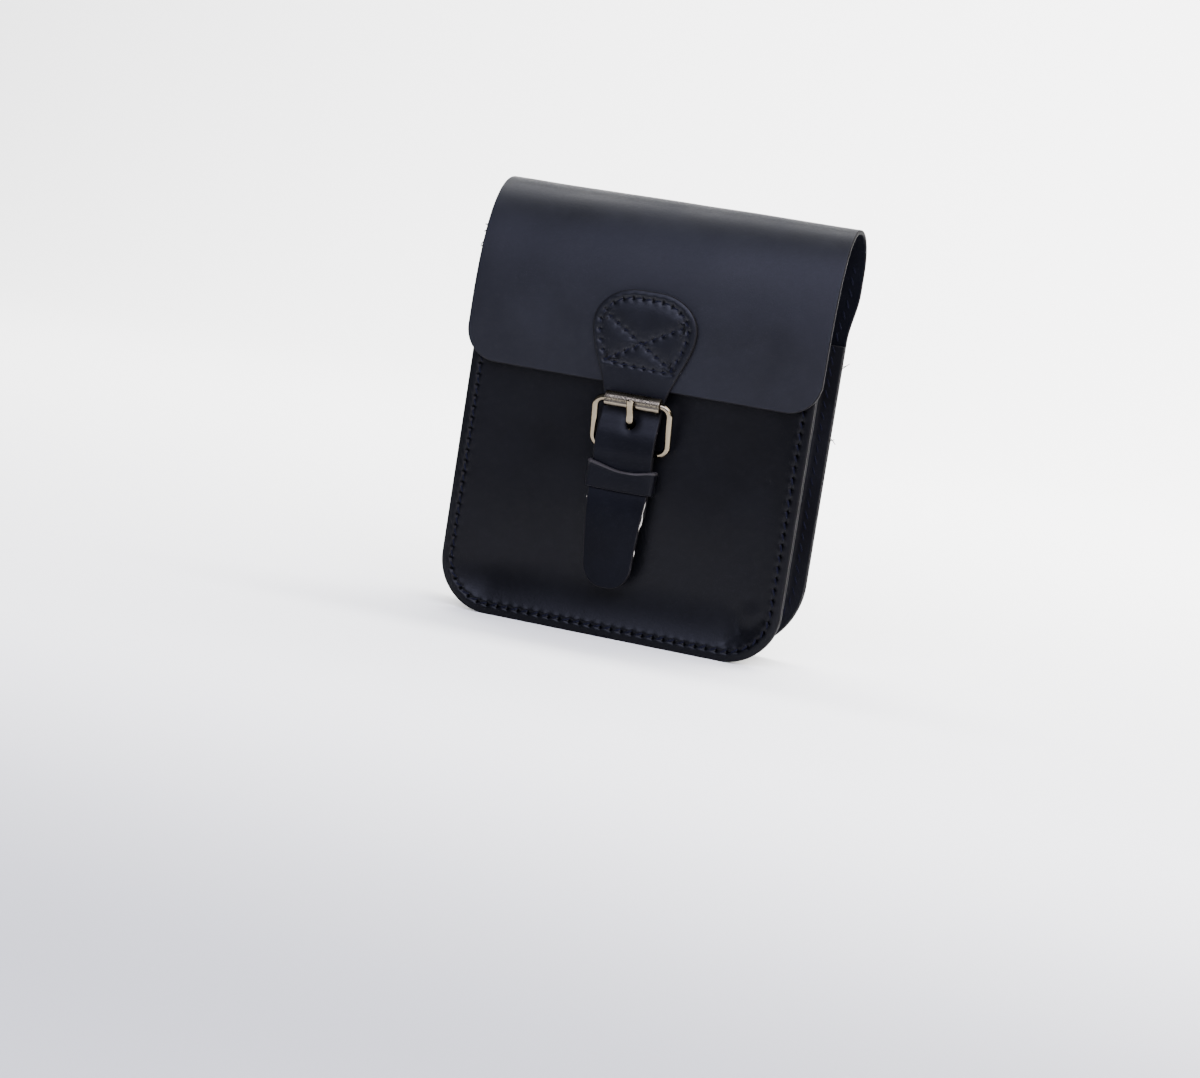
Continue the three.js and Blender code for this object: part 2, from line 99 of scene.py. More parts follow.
def new_mesh(name, points, faces, edges=(), smooth=True):
    mesh = bpy.data.meshes.new(name)
    mesh.from_pydata([tuple(p) for p in to_frame(points)], edges, faces)
    mesh.polygons.foreach_set("use_smooth", [smooth] * len(faces))
    return mesh


def feed(tree, made, inputs):
    """Gives a node its inputs, each of them a plain value or another node's output."""
    for key, value in inputs.items():
        if isinstance(value, bpy.types.NodeSocket):
            tree.links.new(value, made.inputs[key])
        else:
            made.inputs[key].default_value = value


def node(tree, kind, inputs=None, **settings):
    made = tree.nodes.new(kind)
    for key, value in settings.items():
        setattr(made, key, value)
    feed(tree, made, inputs or {})
    return made


def new_look(name):
    """A material, its nodes, its shader, and the Object coordinates that its patterns read."""
    look = bpy.data.materials.new(name)
    look.use_nodes = True
    tree = look.node_tree
    return look, tree, tree.nodes["Principled BSDF"], node(tree, "ShaderNodeTexCoord").outputs["Object"]


def part_of(tree, place, axis):
    return node(tree, "ShaderNodeSeparateXYZ", {"Vector": place}).outputs[axis]


def rescale(tree, value, low, high, to_low=0.0, to_high=1.0, way="LINEAR"):
    span = {"Value": value, "From Min": low, "From Max": high, "To Min": to_low, "To Max": to_high}
    return node(tree, "ShaderNodeMapRange", span, interpolation_type=way).outputs["Result"]


def blend(tree, share, first, second):
    return node(tree, "ShaderNodeMix", {0: share, 6: first, 7: second}, data_type="RGBA").outputs[2]


def make_floor():
    turn = np.linspace(0, math.pi / 2, 25)
    bend = [(floor_far + backdrop_bend * math.sin(a), backdrop_bend * (1 - math.cos(a))) for a in turn]
    line = [(floor_near, 0), *bend, (floor_far + backdrop_bend, backdrop_top)]
    corners = [(x, y, z) for y, z in line for x in (-backdrop_half_width, backdrop_half_width)]
    faces = [(2 * i, 2 * i + 1, 2 * i + 3, 2 * i + 2) for i in range(len(line) - 1)]
    mesh = new_mesh("floor", corners, faces)
    look, tree, shader, place = new_look("pale_floor")
    shaded_at, pale_at = floor_shade_fade
    # Painted shade: the floor's colour turns grey towards the front, where the light is taken to fall off.
    fade = rescale(tree, part_of(tree, place, "Y"), shaded_at * MM, pale_at * MM, way="SMOOTHSTEP")
    colour = blend(tree, fade, floor_painted_shade, floor_colour)
    feed(tree, shader, {"Base Color": colour, "Roughness": 0.9, "Specular IOR Level": 0.1})
    mesh.materials.append(look)
    add_object("floor", mesh)


make_floor()


# Lights: a wide soft panel overhead, which gives the roll of the flap its grey sheen, a cool one
# above and in front, a weak warm one low on the right for the nickel, and one that whitens the
# backdrop. The rest of the room is dim.
sky_colour = (0.86, 0.92, 1.0, 1)
sky_strength = 0.16


def soft_light(name, centre, target, width, height, watts, colour):
    light = bpy.data.lights.new(name, "AREA")
    light.shape = "RECTANGLE"
    light.size = width * MM
    light.size_y = height * MM
    light.energy = watts
    light.color = colour
    add_object(name, light).matrix_world = aimed(centre, target)


soft_light("overhead_panel", (900, 300, 1300), (400, 200, 0), 3200, 1400, 74, (1.0, 0.99, 0.97))
soft_light("front_panel_light", (300, -1350, 1030), (0, 0, 150), 1800, 960, 68, (0.76, 0.78, 1.0))
soft_light("low_warm_light", (900, -1300, 250), (0, 0, 100), 400, 500, 8, (1.0, 0.88, 0.72))
soft_light("backdrop_light", (0, 700, 1900), (0, 2200, 500), 2600, 900, 230, (1.0, 1.0, 1.0))
world = bpy.data.worlds.new("dim_room")
bpy.context.scene.world = world
world.use_nodes = True
feed(world.node_tree, world.node_tree.nodes["Background"], {"Color": sky_colour, "Strength": sky_strength})


# Front panel: one flat piece of smooth black leather with rounded lower corners, sewn to the gusset
# five millimetres in from its edge. The seam pulls a groove, the margin outside it rolls up, and the
# panel is dished in the middle and full above the lower seam.
def bag_box(name):
    """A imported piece's lowest and highest corner: x, depth and height in the bag's own measure."""
    return [[corner.x / MM, corner.y / MM - front_face, corner.z / MM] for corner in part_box(name)]


body_half, panel_leather, mouth_height = bag_box("front_panel")[1]
panel_corner = 26
seam_inset = 4.9
stitch_pitch = 5.25
seam_sink = 0.5
seam_half_width = 0.75
margin_roll = 0.4
panel_dish = 2.9
dish_rim = 26
low_fullness = 0.6
low_reach = 40
flat_from, flat_to = 85, 150
tab_hold_half = 24
tab_hold_height = 78
tab_hold_reach = 30
panel_wave = 0.22
panel_seed = 4
cut_rounding = 0.55
edge_rows = [0, 0.08, 0.22, 0.4, 0.55]
seam_rows = [1.1, 1.9, 2.7, 3.4, 3.9, 4.3, 4.65, 4.9, 5.15, 5.5, 5.9, 6.5, 7.3, 8.4]
inner_rows = [10, 12, 14.5, 17.5, 20.5, 23.5]
long_crease = [(60, 9), (66, 16), (71, 17.5), (77, 24)]
short_crease = [(66, 16), (64, 25), (69, 32)]
crushed_fold = (70, 24)
fold_height, fold_reach = 0.55, 4.5
long_crease_depth, long_crease_width = 0.38, 1.5
short_crease_depth, short_crease_width = 0.3, 1.6
hole_half_width = 0.9
hole_half_length = 0.55
pucker_half_width = 1.9
pucker_height = 0.5
leather_dark = (0.0030, 0.0033, 0.0050)
leather_light = (0.0056, 0.0062, 0.0095)
cool_sheen = (0.90, 0.90, 1.0, 1)


def nearest_on(points, line):
    """The distance from each 2-D point to a line, and how far along the line its nearest place is."""
    points, line = np.asarray(points, float), np.asarray(line, float)
    start, step = line[:-1], np.diff(line, axis=0)
    length = np.linalg.norm(step, axis=1)
    reach = np.concatenate([[0], np.cumsum(length)])
    distance, run = np.empty(len(points)), np.empty(len(points))
    batch = 4000
    for first in range(0, len(points), batch):
        some = points[first:first + batch, None, :] - start[None]
        share = np.clip((some * step[None]).sum(2) / np.maximum(length ** 2, 1e-12), 0, 1)
        gap = np.linalg.norm(some - share[..., None] * step[None], axis=2)
        best = gap.argmin(1)
        rows = np.arange(len(best))
        distance[first:first + batch] = gap[rows, best]
        run[first:first + batch] = reach[best] + share[rows, best] * length[best]
    return distance, run


def panel_outline(half_width, height, corner, inset=0, steps=24):
    """The U of a panel's edge, or of its seam, from the top left down, along the base and up again."""
    left, right = -half_width + corner, half_width - corner
    turn = np.linspace(0, math.pi / 2, steps + 1)
    radius = corner - inset
    points = [(-half_width + inset, height)]
    points += [(left - radius * math.cos(a), corner - radius * math.sin(a)) for a in turn]
    points += [(right + radius * math.sin(a), corner - radius * math.cos(a)) for a in turn]
    return np.array(points + [(half_width - inset, height)])


def grid_faces(rows, columns, first=0, turned=False, round_rows=False, round_columns=False):
    """The faces between points that are numbered row by row. A round grid closes on itself, and a
    turned one looks the other way."""
    faces = []
    for i in range(rows if round_rows else rows - 1):
        low, high = first + i * columns, first + (i + 1) % rows * columns
        for j in range(columns if round_columns else columns - 1):
            after = (j + 1) % columns
            if turned:
                faces.append((low + j, high + j, high + after, low + after))
            else:
                faces.append((low + j, low + after, high + after, high + j))
    return faces


def weld(points, faces):
    """Makes one point of those at the same place, and drops the sides that vanish."""
    keys = np.round(np.asarray(points) * 1e4).astype(np.int64)
    _, first, merged = np.unique(keys, axis=0, return_index=True, return_inverse=True)
    merged = merged.ravel()
    kept = []
    for face in faces:
        ring = [int(merged[i]) for i in face]
        ring = [v for i, v in enumerate(ring) if v != ring[i - 1]]
        if len(ring) > 2:
            kept.append(ring)
    return np.asarray(points)[first], kept


def panel_grid(half_width, height, corner, offsets, step):
    """A panel's points and faces. Rows follow its edge as far in as the corner's centre."""
    left, right = -half_width + corner, half_width - corner
    sides = np.linspace(height, corner, max(2, round((height - corner) / step)) + 1)
    base = np.linspace(left, right, round(2 * (half_width - corner) / step) + 1)
    turn = np.linspace(0, math.pi / 2, round(corner * math.pi / 2 / step) + 1)
    rows = []
    for inset in [*offsets, corner]:
        radius = corner - inset
        row = [(-half_width + inset, z) for z in sides[:-1]]
        row += [(base[0] - radius * math.cos(a), corner - radius * math.sin(a)) for a in turn]
        row += [(x, inset) for x in base[1:-1]]
        row += [(base[-1] + radius * math.sin(a), corner - radius * math.cos(a)) for a in turn]
        row += [(half_width - inset, z) for z in sides[-2::-1]]
        rows.append(row)
    points = [p for row in rows for p in row]
    faces = grid_faces(len(rows), len(rows[0]))
    faces += grid_faces(len(sides), len(base), len(points), turned=True)
    points += [(x, z) for z in sides for x in base]
    return weld(points, faces)


def solid_leather(name, middle, normal, rim, faces, thickness, looks, marks=(), relief=0.0,
                  rounding=cut_rounding, bare=None):
    """Gives a sheet of leather its thickness and its rounded cut edge. rim is each point's distance
    to the cut edge, marks are further numbers that the material reads, relief is how far the outer
    face alone stands out, and bare says how wide the cut edge's own colour reaches. looks are for the
    outer face, the cut edge and, if there is a third, the rough inner face."""
    curve = np.sqrt(1 - (1 - np.clip(rim / rounding, 0, 1)) ** 2)
    half = thickness / 2 - rounding + rounding * curve
    count = len(middle)
    a, b, c = (middle[[f[i] for f in faces]] for i in range(3))
    facing_sum = (np.cross(b - a, c - b) * normal[[f[0] for f in faces]]).sum()
    if facing_sum < 0:
        faces = [f[::-1] for f in faces]
    edges = {(f[i - 1], f[i]) for f in faces for i in range(len(f))}
    walls = sorted((i, j) for i, j in edges if (j, i) not in edges)
    every = [list(f) for f in faces]
    every += [[v + count for v in reversed(f)] for f in faces]
    every += [[j, i, i + count, j + count] for i, j in walls]
    points = np.concatenate([middle + normal * (half + relief)[:, None], middle - normal * half[:, None]])
    mesh = new_mesh(name, points, every)
    bare = np.broadcast_to(rounding if bare is None else bare, len(rim))
    cut = [all(rim[v] < bare[v] for v in f) for f in faces]
    inner_slot = 2 if len(looks) > 2 else 0
    slots = [1 if c else 0 for c in cut] + [1 if c else inner_slot for c in cut] + [1] * len(walls)
    mesh.polygons.foreach_set("material_index", slots)
    for mark, values in marks:
        layer = mesh.attributes.new(mark, "FLOAT", "POINT")
        layer.data.foreach_set("value", np.tile(values, 2).astype(np.float32))
    for look in looks:
        mesh.materials.append(look)
    return add_object(name, mesh)


def gauss(distance, width):
    return np.exp(-(distance / width) ** 2)


def smooth_step(value, start, end):
    t = np.clip((value - start) / (end - start), 0, 1)
    return t * t * (3 - 2 * t)


def undulation(u, v, height, seed):
    """Slow unevenness of a hanging sheet of leather, from a few long waves."""
    rng = np.random.default_rng(seed)
    waves = (150, 95, 61, 38)
    total = np.zeros(np.shape(u))
    for wave in waves:
        angle, phase = rng.uniform(0, math.pi), rng.uniform(0, 2 * math.pi)
        along = u * math.cos(angle) + v * math.sin(angle)
        total = total + wave / waves[0] * np.sin(along * 2 * math.pi / wave + phase)
    return height * total / 2


def sums(tree, operation, first, second=0.0, third=0.0):
    return node(tree, "ShaderNodeMath", {0: first, 1: second, 2: third}, operation=operation).outputs[0]


def times(tree, first, second):
    return sums(tree, "MULTIPLY", first, second)


def hump(tree, distance, width):
    """One at no distance, and less the further off: a bell curve."""
    off = sums(tree, "DIVIDE", distance, width)
    return sums(tree, "POWER", math.e, times(tree, times(tree, off, off), -1.0))


def noise(tree, place, scale, detail, roughness=0.5):
    inputs = {"Vector": place, "Scale": scale, "Detail": detail, "Roughness": roughness}
    return node(tree, "ShaderNodeTexNoise", inputs).outputs["Fac"]


def bumps(tree, height, strength, distance, over=None):
    inputs = {"Height": height, "Strength": strength, "Distance": distance * MM}
    if over is not None:
        inputs["Normal"] = over
    return node(tree, "ShaderNodeBump", inputs).outputs["Normal"]


def dyed(colour, depth=1):
    return (*(c * depth for c in colour), 1)


def leather(name, depth, roughness, gloss, grain=1.0, seam=None, worn=None, sheen=cool_sheen):
    """Satin black leather: fine pebbled grain, with slow changes of tone and of gloss. depth is how
    black it is dyed, and on the front panel it also holds painted shade; seam is (distance in from the
    edge, pitch) where stitches pucker it, and their holes get painted shade; and worn is (height,
    height, gloss): dulled to that gloss at the first height, and as new at the second."""
    look, tree, shader, place = new_look(name)
    cloud = noise(tree, place, scale=26, detail=5, roughness=0.6)
    speck = noise(tree, place, scale=900, detail=3, roughness=0.6)
    pores = {"Vector": place, "Scale": 1500, "Randomness": 1.0}
    pebble = node(tree, "ShaderNodeTexVoronoi", pores, feature="SMOOTH_F1").outputs["Distance"]
    tone = rescale(tree, cloud, 0.3, 0.7)
    colour = blend(tree, tone, dyed(leather_dark, depth), dyed(leather_light, depth))
    mottle = sums(tree, "ADD", times(tree, cloud, 0.6), times(tree, speck, 0.4))
    rough = rescale(tree, mottle, 0.35, 0.65, *roughness)
    shine = gloss
    if worn:
        dull_at, new_at, dull = worn
        shine = rescale(tree, part_of(tree, place, "Z"), dull_at * MM, new_at * MM, dull, gloss)
    grain_height = sums(tree, "ADD", times(tree, pebble, 0.5 * grain), times(tree, speck, 0.9 * grain))
    bump = bumps(tree, grain_height, strength=0.35, distance=0.12)
    if seam:
        inset, pitch = seam
        rim = node(tree, "ShaderNodeAttribute", attribute_name="seam_rim").outputs["Fac"]
        run = node(tree, "ShaderNodeAttribute", attribute_name="run").outputs["Fac"]
        off_seam = sums(tree, "SUBTRACT", rim, inset)
        wave = sums(tree, "SINE", times(tree, run, math.pi / pitch))
        off_hole = times(tree, wave, pitch / math.pi)
        hole = times(tree, hump(tree, off_seam, hole_half_width), hump(tree, off_hole, hole_half_length))
        swell = times(tree, hump(tree, off_seam, pucker_half_width), times(tree, wave, wave))
        pucker = sums(tree, "SUBTRACT", times(tree, swell, pucker_height), hole)
        bump = bumps(tree, pucker, strength=1.0, distance=0.45, over=bump)
        # Painted shade: each stitch hole's colour is darkened towards black and its gloss taken away.
        hole = times(tree, hole, 0.85)
        colour = blend(tree, hole, colour, (0, 0, 0, 1))
        shine = times(tree, shine, sums(tree, "SUBTRACT", 1.0, hole))
    feed(tree, shader, {"Base Color": colour, "Roughness": rough, "Specular IOR Level": shine,
                        "Specular Tint": sheen, "Normal": bump})
    return look


def cut_edge(name, colour, roughness):
    """The dyed and rubbed cut edge: smoother than the flesh, with fibres running along it."""
    look, tree, shader, place = new_look(name)
    fibre = noise(tree, place, scale=700, detail=6, roughness=0.7)
    worn = rescale(tree, noise(tree, place, scale=90, detail=3), 0.52, 0.72)
    mixed = blend(tree, worn, dyed(colour), dyed(colour, 1.8))
    feed(tree, shader, {"Base Color": mixed, "Roughness": roughness, "Specular IOR Level": 0.06,
                        "Normal": bumps(tree, fibre, strength=0.5, distance=0.15)})
    return look


panel_seam = panel_outline(body_half, mouth_height, panel_corner, seam_inset)
# Painted shade: the panel is the same leather as the flap, but its colour is scaled darker (depth 0.2 against
# the flap's 0.7) to stand in for the panel being less lit than the flap.
panel_look = leather("panel_leather", depth=0.2, roughness=(0.28, 0.40), gloss=0.10,
                     seam=(seam_inset, stitch_pitch))
black_edge = cut_edge("black_leather_edge", colour=(0.0045, 0.0043, 0.005), roughness=0.7)
flesh_look = leather("flesh_side", depth=0.7, roughness=(0.8, 0.95), gloss=0.025, grain=3.0)


def seam_relief(rim):
    """How far a sewn margin stands proud of the sheet: down in the groove, up in the rolled edge."""
    roll = np.where(rim < seam_inset, np.sin(np.clip(rim / seam_inset, 0, 1) * math.pi), 0)
    return margin_roll * roll - seam_sink * gauss(rim - seam_inset, seam_half_width)


def crumple(flat):
    """The crushed lower right corner: two short creases that meet, and the fold between them."""
    fold = gauss(np.hypot(flat[:, 0] - crushed_fold[0], flat[:, 1] - crushed_fold[1]), fold_reach)
    long = gauss(nearest_on(flat, long_crease)[0], long_crease_width)
    short = gauss(nearest_on(flat, short_crease)[0], short_crease_width)
    return fold_height * fold - long_crease_depth * long - short_crease_depth * short


def panel_relief(x, z, rim):
    """How far the front panel stands out from flat, towards the one who looks at it."""
    inside = 1 - (1 - np.clip((rim - seam_inset) / dish_rim, 0, 1)) ** 2
    held = np.exp(-(x / tab_hold_half) ** 2 - ((z - tab_hold_height) / tab_hold_reach) ** 2)
    low = 1 + low_fullness * gauss(z, low_reach)
    flatter_up = 1 - 0.7 * smooth_step(z, flat_from, flat_to)
    dish = -panel_dish * low * inside * flatter_up * (1 - 0.75 * held)
    return dish + undulation(x, z, panel_wave, panel_seed) * inside


def make_front_panel():
    offsets = [*edge_rows, *seam_rows, *inner_rows]
    flat, faces = panel_grid(body_half, mouth_height, panel_corner, offsets, stitch_pitch / 4)
    x, height = flat.T
    rim = nearest_on(flat, panel_outline(body_half, mouth_height, panel_corner))[0]
    run = nearest_on(flat, panel_seam)[1]
    middle = np.stack([x, panel_leather / 2 - panel_relief(x, height, rim), height], 1)
    normal = np.tile([0.0, -1.0, 0.0], (len(flat), 1))
    relief = seam_relief(rim) + crumple(flat)
    to_edge = np.minimum(rim, mouth_height - height)
    return solid_leather("front_panel_leather", middle, normal, to_edge, faces, panel_leather,
                         [panel_look, black_edge, flesh_look], [("seam_rim", rim), ("run", run)], relief)


front_panel = make_front_panel()
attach(front_panel, "root")
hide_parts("front_panel")


# Gusset: one strip of black leather down a side, round the bottom and up the other side. Its edges
# are turned outwards as flanges and sewn to the panels, and its wall sinks a little between them.
gusset_low, gusset_high = bag_box("gusset")
gusset_front = gusset_low[1]
gusset_back, gusset_top = gusset_high[1:]
gusset_leather = 2.0
flange_width = 8
gusset_bend = 1.2
wall_sink = 1.6
wall_ripple = 0.35
ripple_turn = 0.9
back_corner = 38
warm_sheen = (1.0, 0.90, 0.80, 1)


def gusset_section():
    """Half-way through the leather: how far out from the wall, the depth, and the way the face looks."""
    radius = gusset_bend + gusset_leather / 2
    front, back = gusset_front + gusset_leather / 2, gusset_back - gusset_leather / 2
    ends = flange_width - np.array([*edge_rows, 1.1, 2.2, 3.2, 4.2, 5.2, 6.0])
    turn = np.linspace(0, math.pi / 2, 7)
    rows = [(d, front, 0, 1) for d in ends]
    for cos, sin in zip(np.cos(turn[1:]), np.sin(turn[1:])):
        rows.append((gusset_bend - radius * sin, front + radius * (1 - cos), sin, cos))
    rows += [(gusset_bend - radius, y, 1, 0) for y in np.linspace(front + radius, back - radius, 16)[1:-1]]
    for cos, sin in zip(np.cos(turn), np.sin(turn)):
        rows.append((gusset_bend - radius * cos, back - radius * (1 - sin), cos, -sin))
    rows += [(d, back, 0, -1) for d in ends[::-1][1:]]
    return np.array(rows)


def gusset_stations():
    """The places along the strip: its side, the way it faces and, on a straight side, its height."""
    tops = gusset_top - np.array([*edge_rows, 1.2, 2.5])
    down = [*tops, *np.linspace(tops[-1], back_corner, 30)[1:-1]]
    turn = np.linspace(0, math.pi / 2, 19)
    stations = [(-1, math.pi, z) for z in down]
    stations += [(-1, math.pi + a, None) for a in turn]
    stations += [(side, 1.5 * math.pi, None) for side in np.linspace(-1, 1, 21)[1:-1]]
    stations += [(1, 1.5 * math.pi + a, None) for a in turn]
    stations += [(1, 0, z) for z in down[::-1]]
    return stations


def make_gusset():
    section = gusset_section()
    stations = gusset_stations()
    wall = body_half - flange_width
    share = (section[:, 1] - gusset_front) / (gusset_back - gusset_front)
    corner = panel_corner + (back_corner - panel_corner) * share
    radius = corner - flange_width
    sunk = np.sin(np.clip(share, 0, 1) * math.pi) ** 2
    points, normals, rims = [], [], []
    for i, (side, angle, z) in enumerate(stations):
        out = section[:, 0] - wall_sink * sunk * (1 + wall_ripple * math.sin(i * ripple_turn))
        cos, sin = math.cos(angle), math.sin(angle)
        if z is None:
            x = side * (wall - radius) + (radius + out) * cos
            height = corner + (radius + out) * sin
        else:
            x = side * (wall + out)
            height = np.full(len(out), z)
        points.append(np.stack([x, section[:, 1], height], 1))
        normals.append(np.stack([section[:, 2] * cos, section[:, 3], section[:, 2] * sin], 1))
        rims.append(np.minimum(flange_width - section[:, 0], math.inf if z is None else gusset_top - z))
    faces = grid_faces(len(stations), len(section), turned=True)
    return solid_leather("gusset_leather", np.concatenate(points), np.concatenate(normals),
                         np.concatenate(rims), faces, gusset_leather, [gusset_look, black_edge])


gusset_look = leather("gusset_leather", depth=0.75, roughness=(0.5, 0.64), gloss=0.055, grain=1.3,
                      sheen=warm_sheen)
gusset = make_gusset()
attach(gusset, "root")
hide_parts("gusset")


# Back and flap: one piece of the same leather, up the back, over the top in a slack roll, and down
# in front as the flap. The roll sits further back at the left end than at the right.
flap_low, flap_high = bag_box("back_and_flap")
flap_half, body_depth, bag_height = flap_high
flap_face = flap_low[1]
flap_edge_height = mouth_height - 35
flap_corner = 16
flare_height = 24
roll_foot = bag_height - 63
crest_pull = 0.47
front_pull = 0.78
flap_hang = 0.7
roll_step = 1.8
back_wave = 0.25
back_seed = 11
back_rows = [10, 12.5, 16, 20, 24, 28, 33]


def between(first, second, share):
    return first + (second - first) * share


def arc(centre, radius, start, end, steps):
    angles = np.linspace(start, end, steps + 1)
    return np.stack([centre[0] + radius * np.cos(angles), centre[1] + radius * np.sin(angles)], 1)


def bezier(points, steps):
    t = np.linspace(0, 1, steps + 1)[:, None]
    p = np.array(points, float)
    return (1 - t) ** 3 * p[0] + 3 * (1 - t) ** 2 * t * p[1] + 3 * (1 - t) * t ** 2 * p[2] + t ** 3 * p[3]


class Bend:
    """A path of (depth, height) points that leather follows, read by the distance along it."""

    def __init__(self, points):
        points = np.array(points, float)
        keep = np.concatenate([[True], np.linalg.norm(np.diff(points, axis=0), axis=1) > 1e-6])
        self.points = points[keep]
        steps = np.linalg.norm(np.diff(self.points, axis=0), axis=1)
        self.reach = np.concatenate([[0], np.cumsum(steps)])
        self.length = self.reach[-1]

    def at(self, distance):
        return np.stack([np.interp(distance, self.reach, self.points[:, i]) for i in (0, 1)], -1)

    def left(self, distance, reach=1.2):
        """The way to the left of the path, judged over a short reach before and after."""
        way = self.at(np.minimum(distance + reach, self.length)) - self.at(np.maximum(distance - reach, 0))
        way = way / np.linalg.norm(way, axis=-1, keepdims=True)
        return np.stack([-way[..., 1], way[..., 0]], -1)

    def falls_to(self, height):
        """The distance at which the path last comes down to a height."""
        last = np.nonzero(self.points[:, 1] > height)[0][-1]
        share = (self.points[last, 1] - height) / (self.points[last, 1] - self.points[last + 1, 1])
        return self.reach[last] + share * (self.reach[last + 1] - self.reach[last])


def back_path(back_bend, crest):
    centre = (body_depth - back_bend, bag_height - back_bend)
    roll = bezier([(crest, bag_height), (between(crest, flap_face, crest_pull), bag_height),
                   (flap_face + flap_hang, between(roll_foot, bag_height, front_pull)),
                   (flap_face + 0.3 * flap_hang, roll_foot)], 80)
    return Bend(np.concatenate([[(body_depth, 0)], arc(centre, back_bend, 0, math.pi / 2, 24), roll,
                                [(flap_face, flap_edge_height)]]))


middle_path = back_path(16, 26.3)
left_path = back_path(13, 30.5)
right_path = back_path(20, 22)


def back_half_width(s):
    """Half the width of the leather, without its corners, at a distance up the back and over."""
    return between(body_half, flap_half, smooth_step(s, mouth_height, mouth_height + flare_height))


def on_back(x, s):
    """The outer face of the back and flap at x and s, and the way that it looks."""
    side = np.clip(x / flap_half, -1, 1)
    shares = (np.maximum(-side, 0), 1 - abs(side), np.maximum(side, 0))
    place, look = np.zeros((len(x), 2)), np.zeros((len(x), 2))
    for path, share in zip((left_path, middle_path, right_path), shares):
        stretch = (path.length - mouth_height) / (middle_path.length - mouth_height)
        along = np.minimum(s, mouth_height) + np.maximum(s - mouth_height, 0) * stretch
        place += path.at(along) * share[:, None]
        look -= path.left(along) * share[:, None]
    look /= np.linalg.norm(look, axis=1, keepdims=True)
    return place, look


def flap_rows(length):
    """Distances along the flap that need a row of points: close at its end and round its corners."""
    roll = np.arange(mouth_height, length - flap_corner - 1, roll_step)
    corner = length - flap_corner * (1 - np.sin(np.linspace(0, math.pi / 2, 20)))
    return np.concatenate([roll, corner[:-1], length - np.array(edge_rows[::-1])])


def sheet_frame(x, place, look):
    """Points and outward ways of leather that is bent only in depth and height."""
    return np.stack([x, place[:, 0], place[:, 1]], 1), np.stack([np.zeros(len(x)), look[:, 0], look[:, 1]], 1)


def make_back_and_flap():
    flat, faces = panel_grid(body_half, mouth_height, back_corner, [*edge_rows, *seam_rows, *back_rows], 2.1)
    columns = np.unique(np.round(flat[flat[:, 1] > mouth_height - 1e-6, 0], 5))
    length = middle_path.length
    rows = flap_rows(length)
    corner_share = 1 - np.clip((length - rows) / flap_corner, 0, 1)
    half = back_half_width(rows) - flap_corner * (1 - np.sqrt(1 - corner_share ** 2))
    grid = [(x / body_half * h, s) for h, s in zip(half, rows) for x in columns]
    faces += grid_faces(len(rows), len(columns), len(flat))
    flat, faces = weld(np.concatenate([flat, grid]), faces)
    x, s = flat.T
    upper = np.stack([half, rows], 1)
    lower = panel_outline(body_half, mouth_height, back_corner)
    outline = np.concatenate([upper[::-1] * [-1, 1], lower[1:-1], upper, [(-upper[-1, 0], upper[-1, 1])]])
    rim = nearest_on(flat, outline)[0]
    run = nearest_on(flat, panel_outline(body_half, mouth_height, back_corner, seam_inset))[1]
    run = np.where(s > mouth_height + 2, 0, run)
    place, look = on_back(x, s)
    out = undulation(x, s, back_wave, back_seed) * smooth_step(rim, 0, 25) - panel_leather / 2
    middle, normal = sheet_frame(x, place + look * out[:, None], look)
    sewn = 1 - smooth_step(s, mouth_height - 6, mouth_height)
    seam_rim = np.where(s < mouth_height, rim, rim + 40)
    return solid_leather("back_and_flap_leather", middle, normal, rim, faces, panel_leather,
                         [black_leather, black_edge, flesh_look],
                         [("seam_rim", seam_rim), ("run", run)], seam_relief(rim) * sewn)


black_leather = leather("black_leather", depth=0.7, roughness=(0.42, 0.56), gloss=0.17,
                        seam=(seam_inset, stitch_pitch), worn=(208, 200, 0.07))
back_and_flap = make_back_and_flap()
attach(back_and_flap, "root")
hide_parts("back_and_flap")


# Closing strap: one strip of the same leather. Its arched head is sewn to the flap, it passes behind
# the roller and bulges forward over the heel bar, goes through the keeper, and hangs to a round tip.
# The stitched border and cross draw the head down, and the leather between them puffs up.
strap_low, strap_high = bag_box("closing_strap")
roller_low, roller_high = bag_box("buckle_roller")
frame_low, frame_high = bag_box("buckle_frame")
keeper_low, keeper_high = bag_box("strap_keeper")
wire_radius = 1.6
buckle_middle = (frame_low[0] + frame_high[0]) / 2
roller_depth = (roller_low[1] + roller_high[1]) / 2
roller_height = (roller_low[2] + roller_high[2]) / 2
heel_depth = frame_high[1] - wire_radius
heel_height = frame_low[2] + wire_radius
keeper_foot, keeper_top = keeper_low[2], keeper_high[2]
strap_leather = 2.2
strap_width = 29
head_width = strap_high[0] * 2
head_top = 165
head_arch = 17
head_crown = 9
head_taper = 38
head_foot = 129
head_puff = 0.5
tip_height = strap_low[2]
tip_narrowing = 2.5
tip_crown = 3
tip_taper = 32
strap_clear = 0.3
strap_at_fold = -7.9
strap_at_keeper = -5.9
strap_bulge = 2.4
fold_pull = 0.6
settle_pulls = (4.5, 5)
hang_pulls = (11, 22)
tip_clear = 4.4
strap_wave = 0.10
strap_seed = 23
head_border = 3.9
head_border_shift = -0.6
head_border_foot = 35.6
head_pitch = 4.9
seam_draw = 0.45
edge_roll = 0.35
cross_stitches = [[(-17.7, 151), (16.2, 130)], [(17.6, 150.3), (-15.4, 131.6)]]
base_stitches = [(-17.2, 130.6), (-9, 129.6), (2, 129.2), (12, 128.8), (16.8, 128.4)]
prong_hole_height = 102.5
prong_hole_depth = -7
prong_hole_half = (2.2, 2.75)
prong_hole_slant = 0.4
prong_hole_dent = 1.1
prong_dent_half = (3.9, 5.0)
punch_reach = 8


